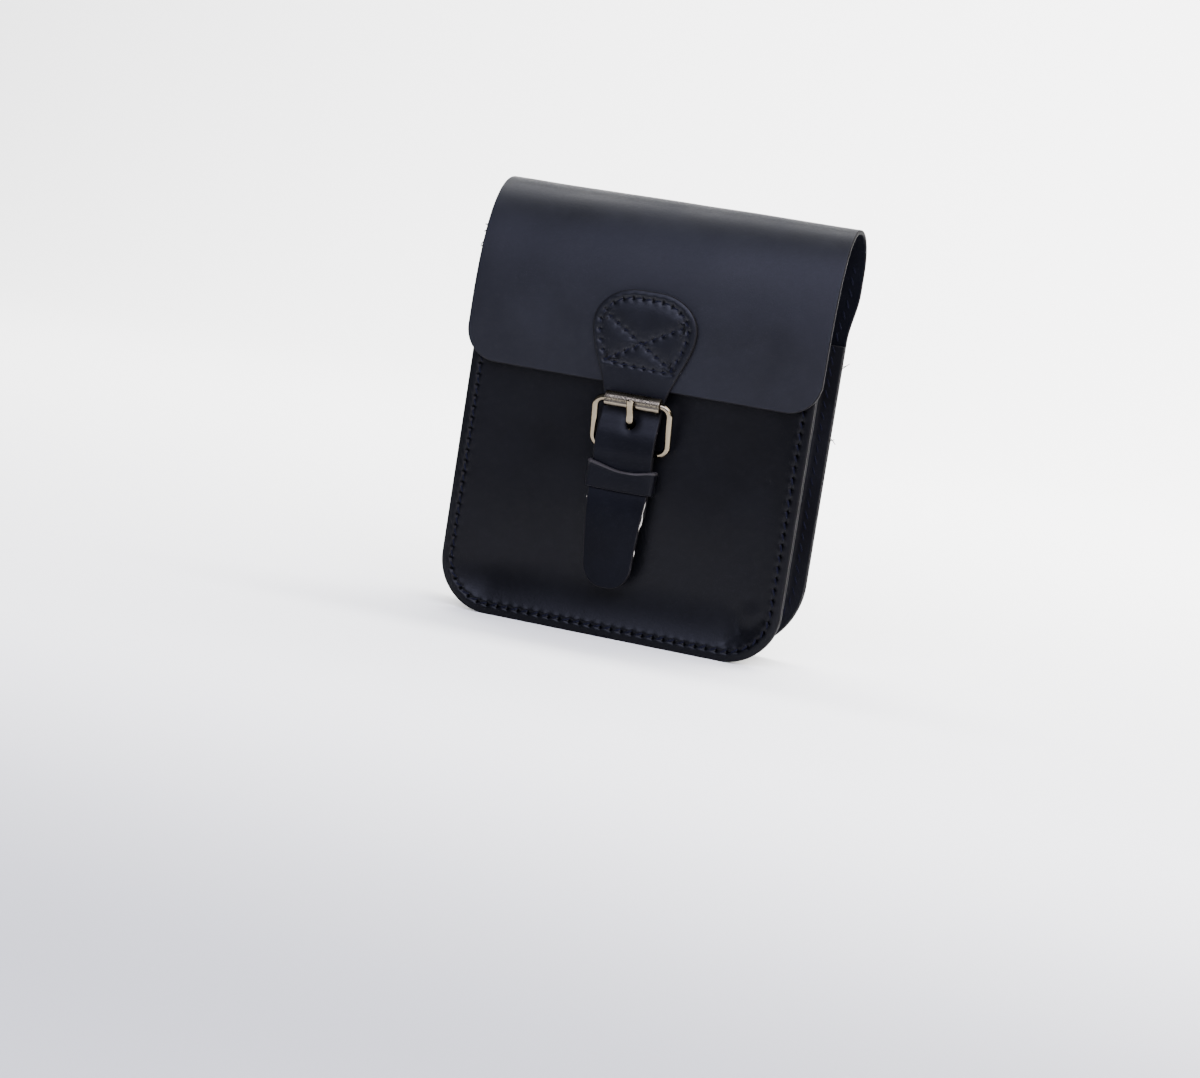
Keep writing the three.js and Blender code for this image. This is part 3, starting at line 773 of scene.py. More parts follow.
def strap_line():
    """The strap's inner face in (depth, height), from the head's top edge to the tip."""
    start, end = middle_path.falls_to(head_top), middle_path.falls_to(flap_edge_height + 1)
    on_flap = [(y - strap_clear, z) for y, z in middle_path.at(np.linspace(start, end, 24))]
    over = flap_face - strap_clear
    fold = bezier([(over, roller_height), (over, between(roller_height, heel_height, fold_pull)),
                   (strap_at_fold, between(heel_height, roller_height, fold_pull)),
                   (strap_at_fold, heel_height)], 20)
    settle = bezier([(strap_at_fold, heel_height), (strap_at_fold, heel_height - settle_pulls[0]),
                     (strap_at_keeper, keeper_top + settle_pulls[1]), (strap_at_keeper, keeper_top)], 12)[1:]
    hang = bezier([(strap_at_keeper, keeper_foot),
                   (strap_at_keeper - strap_bulge * 1.5, keeper_foot - hang_pulls[0]),
                   (-tip_clear - strap_bulge, tip_height + hang_pulls[1]), (-tip_clear, tip_height)], 24)
    return Bend([*on_flap, *fold, *settle, *hang])


strap_path = strap_line()
strap_start = strap_path.points[0][1]
tip_radius = strap_width / 2 - tip_narrowing


def round_off(width, depth, distance):
    share = np.minimum(distance / depth, 1)
    return width * (1 - np.sqrt(np.maximum(1 - (1 - share) ** 2, 0)))


def strap_half_width(s):
    left = strap_path.length - s
    narrowing = np.clip((tip_radius + tip_taper - left) / tip_taper, 0, 1)
    half = between(head_width, strap_width, smooth_step(s, head_arch, head_arch + head_taper)) / 2
    arch = round_off((head_width - head_crown) / 2, head_arch, s)
    tip = round_off(tip_radius - tip_crown / 2, tip_radius, left)
    return half - narrowing * tip_narrowing - arch - tip


def strap_rows():
    """Distances along the strap that need a row of points: close at its ends and round its arcs."""
    length = strap_path.length
    turn = 1 - np.cos(np.linspace(0, math.pi / 2, 28))
    rows = np.concatenate([edge_rows, head_arch * turn, np.arange(head_arch, length - tip_radius, 0.7),
                           length - tip_radius * turn, length - np.array(edge_rows)])
    rows = np.unique(np.round(rows, 4))
    return rows[np.concatenate([[True], np.diff(rows) > 0.03])]


def strap_outline():
    right = np.array([(strap_half_width(s), s) for s in strap_rows()])
    return np.concatenate([right, right[::-1] * [-1, 1], right[:1]])


def head_border_line():
    """The seam round the head, inside its outline, from the lower left over the top."""
    arch = head_arch * (1 - np.cos(np.linspace(0, math.pi / 2, 40)))
    s = np.concatenate([arch, np.arange(head_arch + 1, head_border_foot + 1.4, 1.0)])
    outline = np.array([(strap_half_width(d), d) for d in s])
    outline = np.concatenate([outline[::-1] * [-1, 1], [(0, 0)], outline])
    way = np.gradient(outline, axis=0)
    way /= np.linalg.norm(way, axis=1, keepdims=True)
    inner = outline + np.stack([-way[:, 1], way[:, 0]], 1) * head_border
    inner = inner[(inner[:, 1] < head_border_foot) & (inner[:, 1] > head_border - 0.6)]
    keep = nearest_on(inner, outline)[0] > head_border - 0.25
    return inner[keep] + [head_border_shift, 0]


def head_seams():
    """The border, the cross and the base of the head's stitching, in x and distance down the strap."""
    lines = [*cross_stitches, base_stitches]
    return [head_border_line(), *[np.array([(x, strap_start - z) for x, z in line]) for line in lines]]


def strap_relief(flat):
    """How far the strap's outer face stands out, the distance to the head's seams and the place along
    them, and the distance to the cut edge."""
    near = [nearest_on(flat, line) for line in head_seams()]
    distance = np.min([n[0] for n in near], axis=0)
    run = np.choose(np.argmin([n[0] for n in near], axis=0), [n[1] for n in near])
    edge = nearest_on(flat, strap_outline())[0]
    below = flat[:, 1] - (strap_start - head_foot)
    inside = (below < 1) & (edge > head_border - 0.6)
    puff = head_puff * (1 - gauss(distance, 3.2)) * np.where(inside, 1, 0.25) * (1 - smooth_step(below, 0, 7))
    head = 1 - smooth_step(below, -1, 5)
    roll = edge_roll * np.sin(np.clip(edge / head_border, 0, 1) * math.pi) * (edge < head_border) * head
    to_hole = (flat - [buckle_middle, strap_path.falls_to(prong_hole_height)]) / prong_dent_half
    pull = -prong_hole_dent * gauss(np.hypot(*to_hole.T), 0.75)
    return puff + roll - seam_draw * gauss(distance, 0.8) * head + pull, distance, run, edge


def make_strap():
    rows = strap_rows()
    share = np.linspace(-1, 1, 41)[1:-1]
    flat = []
    for s in rows:
        half = strap_half_width(s)
        rims = np.array([*edge_rows, 0.9]) * min(1, half / 3)
        core = half - rims[-1]
        flat += [(x, s) for x in (*(-half + rims), *(share * core), *(half - rims[::-1]))]
    flat = np.array(flat)
    x, s = flat.T
    relief, distance, run, edge = strap_relief(flat)
    look = -strap_path.left(s, 1.5)
    look *= np.where(look[:, :1] > 0, -1, 1)
    sag = undulation(x, s, strap_wave, strap_seed) * smooth_step(s, 60, 80)
    middle, normal = sheet_frame(x, strap_path.at(s) + look * strap_leather / 2 + look * sag[:, None], look)
    seam_rim = np.where(s < strap_start - head_foot + 2, distance + head_border, 90)
    faces = grid_faces(len(rows), len(flat) // len(rows))
    return solid_leather("closing_strap_leather", middle, normal, edge, faces, strap_leather,
                         [strap_look, black_edge], [("seam_rim", seam_rim), ("run", run)], relief)


def face_outwards(mesh):
    trim = bmesh.new()
    trim.from_mesh(mesh)
    bmesh.ops.recalc_face_normals(trim, faces=trim.faces)
    trim.to_mesh(mesh)
    trim.free()


def keep_result(piece):
    """Makes what a piece's modifiers show its own mesh, and removes them."""
    evaluated = piece.evaluated_get(bpy.context.evaluated_depsgraph_get())
    result = bpy.data.meshes.new_from_object(evaluated)
    piece.modifiers.clear()
    piece.data = result


def cut_prong_hole(strap):
    """Cuts the oval hole that the prong comes through, along the prong."""
    half_x, half_z = prong_hole_half
    ring = [(buckle_middle + half_x * math.cos(a), prong_hole_height + half_z * math.sin(a))
            for a in np.linspace(0, 2 * math.pi, 33)[:-1]]
    points = [(x, prong_hole_depth + push, z - prong_hole_slant * push)
              for push in (-punch_reach, punch_reach) for x, z in ring]
    count = len(ring)
    faces = grid_faces(2, count, round_columns=True)
    faces += [tuple(range(count))[::-1], tuple(range(count, 2 * count))]
    mesh = new_mesh("hole_punch", points, faces, smooth=False)
    mesh.materials.append(strap_look)
    mesh.materials.append(black_edge)
    mesh.polygons.foreach_set("material_index", [1] * len(faces))
    face_outwards(mesh)
    punch = add_object("hole_punch", mesh)
    cut = strap.modifiers.new("prong_hole", "BOOLEAN")
    cut.operation = "DIFFERENCE"
    cut.solver = "EXACT"
    cut.object = punch
    keep_result(strap)
    bpy.data.objects.remove(punch)


strap_look = leather("strap_leather", depth=0.5, roughness=(0.32, 0.44), gloss=0.14,
                     seam=(head_border, head_pitch), worn=(84, 122, 0.035))
strap = make_strap()
cut_prong_hole(strap)
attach(strap, "root")
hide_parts("closing_strap")


# Keeper: a closed band of leather, a little slack, round the strap and the front layer of the tab.
# Its front sags in the middle, and its upper edge is lifted at both ends.
keeper_leather = 1.5
keeper_bend = 1.35
keeper_sag = 0.7
keeper_bow = 0.25
keeper_slack = 0.5
keeper_lift = (2.8, 1.3)
keeper_lip = 0.35
lip_middle = 0.6
lip_half_width = 0.5
bare_above = 0.95
bare_below = 0.2
keeper_rounding = 0.5


def closed_band(line, stations, place):
    """A closed line of 2-D points repeated across a band's width: points, normals, rims and faces.
    place turns a point of the line and a station into bag coordinates."""
    line = np.asarray(line, float)
    way = np.roll(line, -1, 0) - np.roll(line, 1, 0)
    way /= np.linalg.norm(way, axis=1, keepdims=True)
    look = np.stack([way[:, 1], -way[:, 0]], 1)
    points = np.array([place(p, w) for w in stations for p in line])
    normal = np.array([place(n, 0) - place((0, 0), 0) for _ in stations for n in look])
    low, high = min(stations), max(stations)
    rim = np.array([min(w - low, high - w) for w in stations for _ in line])
    return points, normal, rim, grid_faces(len(stations), len(line), round_columns=True)


def band_stations(width):
    ends = np.array([0, 0.1, 0.25, 0.45, 0.7, 0.95, 1.25])
    return [*ends, *np.linspace(ends[-1], width - ends[-1], 12)[1:-1], *(width - ends[::-1])]


def rounded_ring(half_x, front, back, corner, steps=7, spacing=1.6):
    """A rounded rectangle of (x, depth) points, close together along its straight sides too."""
    turn = np.linspace(0, math.pi / 2, steps)
    right, left, far, near = half_x - corner, -half_x + corner, back - corner, front + corner
    ring = []
    for i, (x, y) in enumerate([(right, far), (left, far), (left, near), (right, near)]):
        start = i * math.pi / 2
        ring += [(x + corner * math.cos(a + start), y + corner * math.sin(a + start)) for a in turn]
    full = []
    for (x, y), (nx, ny) in zip(ring, ring[1:] + ring[:1]):
        pieces = max(1, round(math.hypot(nx - x, ny - y) / spacing))
        full += [(x + (nx - x) * k / pieces, y + (ny - y) * k / pieces) for k in range(pieces)]
    return full


def make_keeper():
    half = keeper_high[0] - keeper_leather / 2
    front = keeper_low[1] + keeper_leather / 2
    back = keeper_high[1] - keeper_leather / 2

    def place(point, rise):
        return np.array([point[0], point[1], keeper_foot + rise])

    line = rounded_ring(half, front, back, keeper_bend)
    points, normal, rim, faces = closed_band(line, band_stations(keeper_top - keeper_foot), place)
    x, depth, height = points.T
    in_front = smooth_step(-depth, -back + 0.4, -front - 0.4)
    across = 1 - (x / half) ** 2
    level = (height - keeper_foot) / (keeper_top - keeper_foot)
    height -= keeper_sag * in_front * across * (0.5 + 0.5 * level)
    depth -= keeper_bow * in_front * across * np.sin(level * math.pi)
    x += keeper_slack * in_front * smooth_step(x, 0, half)
    height += level ** 2 * keeper_lift[0] * smooth_step(-x, -2, half + 2)
    height += level ** 2 * keeper_lift[1] * smooth_step(x, 6, half)
    lip = keeper_lip * gauss(rim - lip_middle, lip_half_width) * (level > 0.5)
    bare = np.where(level > 0.5, bare_above, bare_below)
    return solid_leather("strap_keeper_leather", points, normal, rim, faces, keeper_leather,
                         [keeper_look, keeper_edge], relief=lip, rounding=keeper_rounding, bare=bare)


keeper_look = leather("keeper_leather", depth=0.35, roughness=(0.40, 0.54), gloss=0.07)
keeper_edge = cut_edge("keeper_edge", colour=(0.020, 0.0185, 0.020), roughness=0.5)
keeper = make_keeper()
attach(keeper, "root")
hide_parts("strap_keeper")


# Buckle tab: a short strip folded over the heel bar, with a slot for the prong's eye. Its rear layer
# lies on the front panel, its front layer under the strap.
tab_low, tab_high = bag_box("buckle_tab")
tab_half = tab_high[0]
tab_foot = tab_low[2]
tab_leather = 1.6
tab_rear = -1.1
tab_clear = 0.3
tab_parted = tab_rear - tab_leather - 2 * tab_clear - keeper_leather
tab_closed = tab_rear - tab_leather - tab_clear
tab_fold = wire_radius + tab_clear + tab_leather / 2
tab_spread = 7.1
slot_half_width = 2.0
slot_rise = 4.4


def make_tab():
    path = Bend([(tab_rear, tab_foot), (tab_rear, heel_height - tab_spread),
                 *arc((heel_depth, heel_height), tab_fold, 0, math.pi, 24),
                 (tab_parted, heel_height - tab_spread), (tab_parted, keeper_foot - tab_clear),
                 (tab_closed, tab_foot + tab_leather), (tab_closed, tab_foot)])
    ends = np.array([0, 0.1, 0.25, 0.45, 0.7])
    rows = np.concatenate([ends, np.arange(1.3, path.length - 1, 0.7), path.length - ends[::-1]])
    left = np.linspace(-tab_half + 1.2, buckle_middle - slot_half_width, 10)
    right = np.linspace(buckle_middle + slot_half_width, tab_half - 1.2, 9)
    columns = np.concatenate([-tab_half + ends, left, [buckle_middle], right, tab_half - ends[::-1]])
    flat = np.array([(x, s) for s in rows for x in columns])
    x, s = flat.T
    place, look = path.at(s), -path.left(s, 1.0)
    middle, normal = sheet_frame(x, place, look)
    slot_foot = heel_height - slot_rise
    in_slot = []
    for s0, s1 in zip(rows, rows[1:]):
        high = path.at((s0 + s1) / 2)[1] > slot_foot
        in_slot += [high and abs((x0 + x1) / 2 - buckle_middle) < slot_half_width
                    for x0, x1 in zip(columns, columns[1:])]
    faces = [face for face, gone in zip(grid_faces(len(rows), len(columns)), in_slot) if not gone]
    rim = np.minimum(tab_half - abs(x), np.minimum(s, path.length - s))
    beside = (place[:, 1] > slot_foot - 0.4) & (abs(x - buckle_middle) < slot_half_width + 0.1)
    rim = np.where(beside, 0, rim)
    used = sorted({v for f in faces for v in f})
    order = {v: i for i, v in enumerate(used)}
    faces = [tuple(order[v] for v in f) for f in faces]
    return solid_leather("buckle_tab_leather", middle[used], normal[used], rim[used], faces, tab_leather,
                         [tab_look, black_edge])


tab_look = leather("tab_leather", depth=0.4, roughness=(0.46, 0.6), gloss=0.09)
tab = make_tab()
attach(tab, "root")
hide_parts("buckle_tab")


# Handlebar loops: two closed bands of thick black leather on the back. Each lies flat on the panel, is
# sewn to it there, and stands out behind it as a round ring.
loop_leather = 2.2
loop_bend = 1.8


def make_loop(name):
    low, high = bag_box(name)
    outer = (high[2] - low[2]) / 2
    centre = (high[1] - outer, (high[2] + low[2]) / 2)
    radius = outer - loop_leather / 2
    corner = loop_bend + loop_leather / 2
    foot = low[1] + loop_leather / 2 - centre[0]
    inner = radius - corner
    over = np.linspace(0, foot + corner, 8)[1:-1]
    line = [*arc((0, 0), radius, -math.pi / 2, math.pi / 2, 40),
            *[(y, radius) for y in over],
            *arc((foot + corner, inner), corner, math.pi / 2, math.pi, 8),
            *[(foot, z) for z in np.linspace(inner, -inner, 14)[1:-1]],
            *arc((foot + corner, -inner), corner, math.pi, 1.5 * math.pi, 8),
            *[(y, -radius) for y in over[::-1]]]

    def place(point, across):
        return np.array([low[0] + across, centre[0] + point[0], centre[1] + point[1]])

    points, normal, rim, faces = closed_band(line, band_stations(high[0] - low[0]), place)
    loop = solid_leather(name + "_leather", points, normal, rim, faces, loop_leather, [loop_look, black_edge])
    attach(loop, "root")
    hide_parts(name)
    return (low[0] + high[0]) / 2, centre[1]


loop_look = leather("loop_leather", depth=0.5, roughness=(0.40, 0.54), gloss=0.12)
loop_middles = [make_loop(name) for name in ("handlebar_loop_left", "handlebar_loop_right")]


# Buckle frame: nickel-plated wire bent to a rounded rectangle. It leans forward, with its top bar in
# the roller and its heel bar in the fold of the tab.
nickel_colour = (0.155, 0.130, 0.092)
roller_colour = (0.170, 0.146, 0.108)
darkened_colour = (0.034, 0.031, 0.026)
nickel_rim = (0.42, 0.36, 0.29, 1)
wire_corner = 4.6
buckle_half = (frame_high[0] - frame_low[0]) / 2 - wire_radius
bar_to_bar = math.hypot(heel_depth - roller_depth, roller_height - heel_height)
lean_up = np.array([0, (roller_depth - heel_depth) / bar_to_bar, (roller_height - heel_height) / bar_to_bar])
lean_out = np.array([0, -lean_up[2], lean_up[1]])


def nickel(name, colour, darkening, darker_from=0):
    """Bright nickel plate on steel: fine scratches, dull patches, and pits filled with grime. Above a
    given height it is darker all over, with a dark line at that height; the third argument says how
    strongly, and makes more of the pits dark."""
    look, tree, shader, place = new_look(name)
    drawn_out = node(tree, "ShaderNodeMapping", {"Vector": place, "Scale": (400, 2600, 2600)})
    scratch = noise(tree, drawn_out.outputs["Vector"], scale=1.0, detail=3)
    patch = noise(tree, place, scale=160, detail=4)
    pits = noise(tree, place, scale=1500, detail=2)
    darkness = rescale(tree, pits, 0.62 - 0.14 * darkening, 0.70 - 0.10 * darkening)
    upright = part_of(tree, place, "Z")
    # Above a given height the colour is darkened all over, and a dark line runs at that height.
    above_line = rescale(tree, upright, (darker_from - 0.3) * MM, (darker_from + 0.3) * MM, 0.1)
    darkness = times(tree, above_line, sums(tree, "MULTIPLY_ADD", darkness, 0.45, 0.55 * darkening))
    dark_line = hump(tree, sums(tree, "MULTIPLY_ADD", upright, 1 / MM, -darker_from), 0.55)
    darkness = sums(tree, "MAXIMUM", darkness, times(tree, dark_line, darkening))
    darkened = blend(tree, times(tree, darkness, 0.3 + 0.6 * darkening), dyed(colour), dyed(darkened_colour))
    rough = sums(tree, "MULTIPLY_ADD", darkness, 0.25 * darkening, rescale(tree, patch, 0.35, 0.65, 0.07, 0.17))
    height = sums(tree, "SUBTRACT", times(tree, scratch, 0.5), darkness)
    feed(tree, shader, {"Base Color": darkened, "Metallic": 1.0, "Roughness": rough,
                        "Specular Tint": nickel_rim, "Normal": bumps(tree, height, 0.25 + 0.6 * darkening, 0.05)})
    return look


def sweep(line, radii, closed=False, sides=20, start_across=(1, 0, 0), flat=1.0):
    """A tube of round or oval section along a line of points; radii holds one radius for each."""
    line, radii = np.asarray(line, float), np.broadcast_to(radii, len(line))
    way = np.roll(line, -1, 0) - np.roll(line, 1, 0)
    if not closed:
        way[0], way[-1] = line[1] - line[0], line[-1] - line[-2]
    way /= np.linalg.norm(way, axis=1, keepdims=True)
    across = np.array(start_across, float)
    turn = np.linspace(0, 2 * math.pi, sides + 1)[:-1]
    points = []
    for centre, along, radius in zip(line, way, radii):
        across = across - along * (across @ along)
        across /= np.linalg.norm(across)
        up = np.cross(along, across)
        points += [centre + radius * (math.cos(a) * across + flat * math.sin(a) * up) for a in turn]
    rings = len(line)
    faces = grid_faces(rings, sides, round_rows=closed, round_columns=True)
    if not closed:
        faces += [tuple(range(sides))[::-1], tuple(range((rings - 1) * sides, rings * sides))]
    return np.array(points), faces


def smooth_piece(name, parts, look):
    """One object from several closed surfaces, with their faces turned outwards."""
    points, faces, count = [], [], 0
    for part_points, part_faces in parts:
        points.append(np.asarray(part_points))
        faces += [tuple(v + count for v in f) for f in part_faces]
        count += len(part_points)
    mesh = new_mesh(name, np.concatenate(points), faces)
    face_outwards(mesh)
    mesh.polygons.foreach_set("use_smooth", [len(p.vertices) < 5 for p in mesh.polygons])
    mesh.materials.append(look)
    piece = add_object(name, mesh)
    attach(piece, "root")
    return piece


def make_buckle_frame():
    middle = np.array([buckle_middle, (roller_depth + heel_depth) / 2, (roller_height + heel_height) / 2])
    line = []
    for i, (side, end) in enumerate([(1, 1), (-1, 1), (-1, -1), (1, -1)]):
        x, v = side * (buckle_half - wire_corner), end * (bar_to_bar / 2 - wire_corner)
        for a in np.linspace(0, math.pi / 2, 13) + i * math.pi / 2:
            along, up = x + wire_corner * math.cos(a), v + wire_corner * math.sin(a)
            line.append(middle + np.array([along, 0, 0]) + up * lean_up)
    return smooth_piece("buckle_frame_wire", [sweep(line, wire_radius, True, 28, lean_out)], nickel_look)


nickel_look = nickel("nickel_plate", nickel_colour, 0.0)
buckle_frame = make_buckle_frame()
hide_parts("buckle_frame")


# Roller: a tube rolled up from nickel-plated sheet, loose on the top bar. Its edges meet in a fine
# line along its face, and its top is pitted and darker all over, down to a dark line. It stands a little
# taller than it is deep.
roller_radius = (roller_high[2] - roller_low[2]) / 2
roller_half = (roller_high[0] - roller_low[0]) / 2
roller_clear = 0.3
roller_bore = wire_radius + roller_clear
roller_edge = 0.2
roller_stretch = 1.15
roller_seam = 0.45
roller_seam_turn = math.radians(192)
roller_seam_reach = 0.16
roller_darker_from = roller_height - 0.9


def roller_profile():
    """The tube's section in (distance along, radius): out over an end, along, and in over the other."""
    edge = np.linspace(0, math.pi / 2, 5)
    along = np.linspace(roller_half - roller_edge, -roller_half + roller_edge, 15)[1:-1]
    end = [(roller_half, roller_bore), (roller_half, roller_radius - roller_edge)]
    end += [(roller_half - roller_edge * (1 - math.cos(a)), roller_radius - roller_edge * (1 - math.sin(a)))
            for a in edge[1:]]
    return [*end, *[(x, roller_radius) for x in along], *[(-x, r) for x, r in end[::-1]]]


def make_roller():
    sides = 64
    points = []
    for x, radius in roller_profile():
        for a in np.linspace(0, 2 * math.pi, sides + 1)[:-1]:
            on_face = radius > roller_bore + 0.2
            sunk = roller_seam * gauss(a - roller_seam_turn, roller_seam_reach) if on_face else 0
            points.append((buckle_middle + x, roller_depth + (radius - sunk) * math.cos(a),
                           roller_height + roller_stretch * (radius - sunk) * math.sin(a)))
    faces = grid_faces(len(points) // sides, sides, round_rows=True, round_columns=True)
    return smooth_piece("buckle_roller_tube", [(np.array(points), faces)], roller_look)


roller_look = nickel("pitted_nickel", roller_colour, 1.0, roller_darker_from)
roller = make_roller()
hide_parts("buckle_roller")


# Prong: forged from nickel-plated wire, with an eye round the heel bar. Its tongue comes up through
# the strap, tapers, and hooks over the roller with its tip.
prong_low, prong_high = bag_box("buckle_prong")
prong_half_width = (prong_high[0] - prong_low[0]) / 2
prong_half_thickness = 1.25
prong_rest = 0.35
prong_hook = math.radians(30)
prong_touch = math.radians(196)
prong_behind = (-4.35, 99.6)
prong_before = (-11.4, 105.4)
prong_start_pull = (1.6, 4.5)
prong_pulls = (3, 4.2, 3.2, 2.2)
prong_tip = (0.93, 0.78, 0.5)
eye_half_thickness = 0.72
eye_clear = 0.33
eye_radius = wire_radius + eye_clear + eye_half_thickness


def make_prong():
    roller_centre = np.array([roller_depth, roller_height])
    reach = roller_radius + prong_rest + prong_half_thickness

    def over_roller(turn):
        return roller_centre + reach * np.array([math.cos(turn), math.sin(turn)])

    start, end = np.array([heel_depth - eye_radius, heel_height]), over_roller(prong_touch)
    arrive = np.array([math.sin(prong_touch), -math.cos(prong_touch)])
    behind, before, up = np.array(prong_behind), np.array(prong_before), np.array([0, 1])
    below, into, out_of, onto = prong_pulls
    bend = [*bezier([start, start + prong_start_pull, behind - below * up, behind], 12)[:-1],
            *bezier([behind, behind + into * up, before - out_of * up, before], 18)[:-1],
            *bezier([before, before + onto * up, end - onto * arrive, end], 8)[:-1]]
    hook = [over_roller(prong_touch - a) for a in np.linspace(0, prong_hook, 14)]
    line = [(buckle_middle, y, z) for y, z in [*bend, *hook]]
    share = np.linspace(0, 1, len(line))
    taper, swelling = smooth_step(share, 0.6, 0.75), smooth_step(share, 0.8, 0.95)
    radii = prong_half_width * (1.18 - 0.13 * taper + 0.15 * swelling)
    radii[-3:] *= prong_tip
    tongue = sweep(line, radii, flat=prong_half_thickness / prong_half_width)
    eye = [(buckle_middle, heel_depth + eye_radius * math.cos(a), heel_height + eye_radius * math.sin(a))
           for a in np.linspace(0, 2 * math.pi, 33)[:-1]]
    band = sweep(eye, prong_half_width, True, 16, flat=eye_half_thickness / prong_half_width)
    return smooth_piece("buckle_prong_forged", [tongue, band], nickel_look)


prong = make_prong()
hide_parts("buckle_prong")


# Stitches: waxed navy thread, one short slanting stitch after another, each sunk into its two holes.
# Geometry Nodes set a bent thread on every step of a seam's line, square to the leather there.
thread_dark = (0.0015, 0.0017, 0.0045)
thread_light = (0.0045, 0.0050, 0.0125)
thread_radius = 0.42
thread_slant = 0.42
thread_rise = 0.30
seam_stitch = 3.7
thread_lift = 0.12
thread_gap = 0.05
slant_spread, slant_seed = 0.10, 5
size_spread, size_seed = 0.08, 9
sewn_top = mouth_height - 3
flange_top = gusset_top - 2
above_mouth = np.linspace(gusset_top + 4, bag_height - 19, 9)
head_thread_sink = 0.38
loop_seam_half = 8
loop_seam_rise = 9
loop_thread_lift = 0.35


def thread_material():
    look, tree, shader, place = new_look("waxed_thread")
    fibre = noise(tree, place, scale=2200, detail=2)
    colour = blend(tree, fibre, dyed(thread_dark), dyed(thread_light))
    feed(tree, shader, {"Base Color": colour, "Roughness": 0.75, "Specular IOR Level": 0.06,
                        "Normal": bumps(tree, fibre, strength=0.5, distance=0.1)})
    return look


def stitch_tree():
    tree = bpy.data.node_groups.new("stitch_rows", "GeometryNodeTree")
    face = tree.interface
    face.new_socket(name="Geometry", in_out="INPUT", socket_type="NodeSocketGeometry")
    for name in ("Pitch", "Stitch Length", "Thread Radius", "Rise", "Slant"):
        face.new_socket(name=name, in_out="INPUT", socket_type="NodeSocketFloat")
    face.new_socket(name="Thread", in_out="INPUT", socket_type="NodeSocketMaterial")
    face.new_socket(name="Geometry", in_out="OUTPUT", socket_type="NodeSocketGeometry")
    given = node(tree, "NodeGroupInput").outputs

    def made(kind, inputs=None, **settings):
        return node(tree, kind, inputs, **settings).outputs[0]

    def about(value, spread, seed):
        span = {2: value - spread, 3: value + spread, "Seed": seed}
        return node(tree, "FunctionNodeRandomValue", span, data_type="FLOAT").outputs[1]

    line = made("GeometryNodeMeshToCurve", {"Mesh": given["Geometry"]})
    steps = made("GeometryNodeResampleCurve", {"Curve": line, "Length": given["Pitch"]}, mode="LENGTH")
    half = times(tree, given["Stitch Length"], 0.5)
    sunk = times(tree, given["Rise"], -1.3)
    start = made("ShaderNodeCombineXYZ", {"X": times(tree, half, -1.0), "Z": sunk})
    end = made("ShaderNodeCombineXYZ", {"X": half, "Z": sunk})
    top = made("ShaderNodeCombineXYZ", {"Z": times(tree, given["Rise"], 2.0)})
    ends = {"Resolution": 6, "Start": start, "Middle": top, "End": end}
    bent = made("GeometryNodeCurveQuadraticBezier", ends)
    ring = made("GeometryNodeCurvePrimitiveCircle", {"Resolution": 6, "Radius": given["Thread Radius"]})
    thread = made("GeometryNodeCurveToMesh", {"Curve": bent, "Profile Curve": ring, "Fill Caps": True})
    along = made("GeometryNodeInputTangent")
    out = made("GeometryNodeInputNamedAttribute", {"Name": "out"}, data_type="FLOAT_VECTOR")
    turn = made("FunctionNodeAlignRotationToVector", {"Vector": along}, axis="X")
    square = {"Rotation": turn, "Vector": out}
    turn = made("FunctionNodeAlignRotationToVector", square, axis="Z", pivot_axis="X")
    angle = sums(tree, "ADD", given["Slant"], about(0, slant_spread, slant_seed))
    slant = made("FunctionNodeAxisAngleToRotation", {"Axis": (0, 0, 1), "Angle": angle})
    turn = made("FunctionNodeRotateRotation", {"Rotation": turn, "Rotate By": slant}, rotation_space="LOCAL")
    each = {"Points": steps, "Instance": thread, "Rotation": turn, "Scale": about(1, size_spread, size_seed)}
    row = made("GeometryNodeInstanceOnPoints", each)
    real = made("GeometryNodeRealizeInstances", {"Geometry": row})
    real = made("GeometryNodeSetShadeSmooth", {"Geometry": real})
    real = made("GeometryNodeSetMaterial", {"Geometry": real, "Material": given["Thread"]})
    node(tree, "NodeGroupOutput", {"Geometry": real})
    return tree


def sew(name, rows, pitch, length, slant=thread_slant, radius=thread_radius, rise=thread_rise):
    """Stitches along rows; a row is its points and the way that the leather faces at each."""
    points, outs, edges = [], [], []
    for line, facing in rows:
        line = np.asarray(line, float)
        edges += [(len(points) + i, len(points) + i + 1) for i in range(len(line) - 1)]
        points += list(line)
        outs += list(np.broadcast_to(facing, line.shape))
    mesh = new_mesh(name, points, [], edges)
    layer = mesh.attributes.new("out", "FLOAT_VECTOR", "POINT")
    layer.data.foreach_set("vector", np.array(outs, np.float32).ravel())
    seam = add_object(name, mesh)
    modifier = seam.modifiers.new("stitches", "NODES")
    modifier.node_group = stitch_nodes
    values = {"Pitch": pitch * MM, "Stitch Length": length * MM, "Thread Radius": radius * MM,
              "Rise": rise * MM, "Slant": slant, "Thread": thread_look}
    for item in stitch_nodes.interface.items_tree:
        if item.in_out == "INPUT" and item.name in values:
            modifier[item.identifier] = values[item.name]
    seam.update_tag()
    keep_result(seam)
    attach(seam, "root")
    return seam


def stand(line, depth):
    """A line of (x, height) stood up at a depth."""
    line = np.asarray(line, float)
    return np.stack([line[:, 0], np.broadcast_to(depth, len(line)), line[:, 1]], 1)


def on_strap(flat, lift):
    place = strap_path.at(flat[:, 1])
    return np.stack([flat[:, 0], place[:, 0] - strap_leather - lift, place[:, 1]], 1)


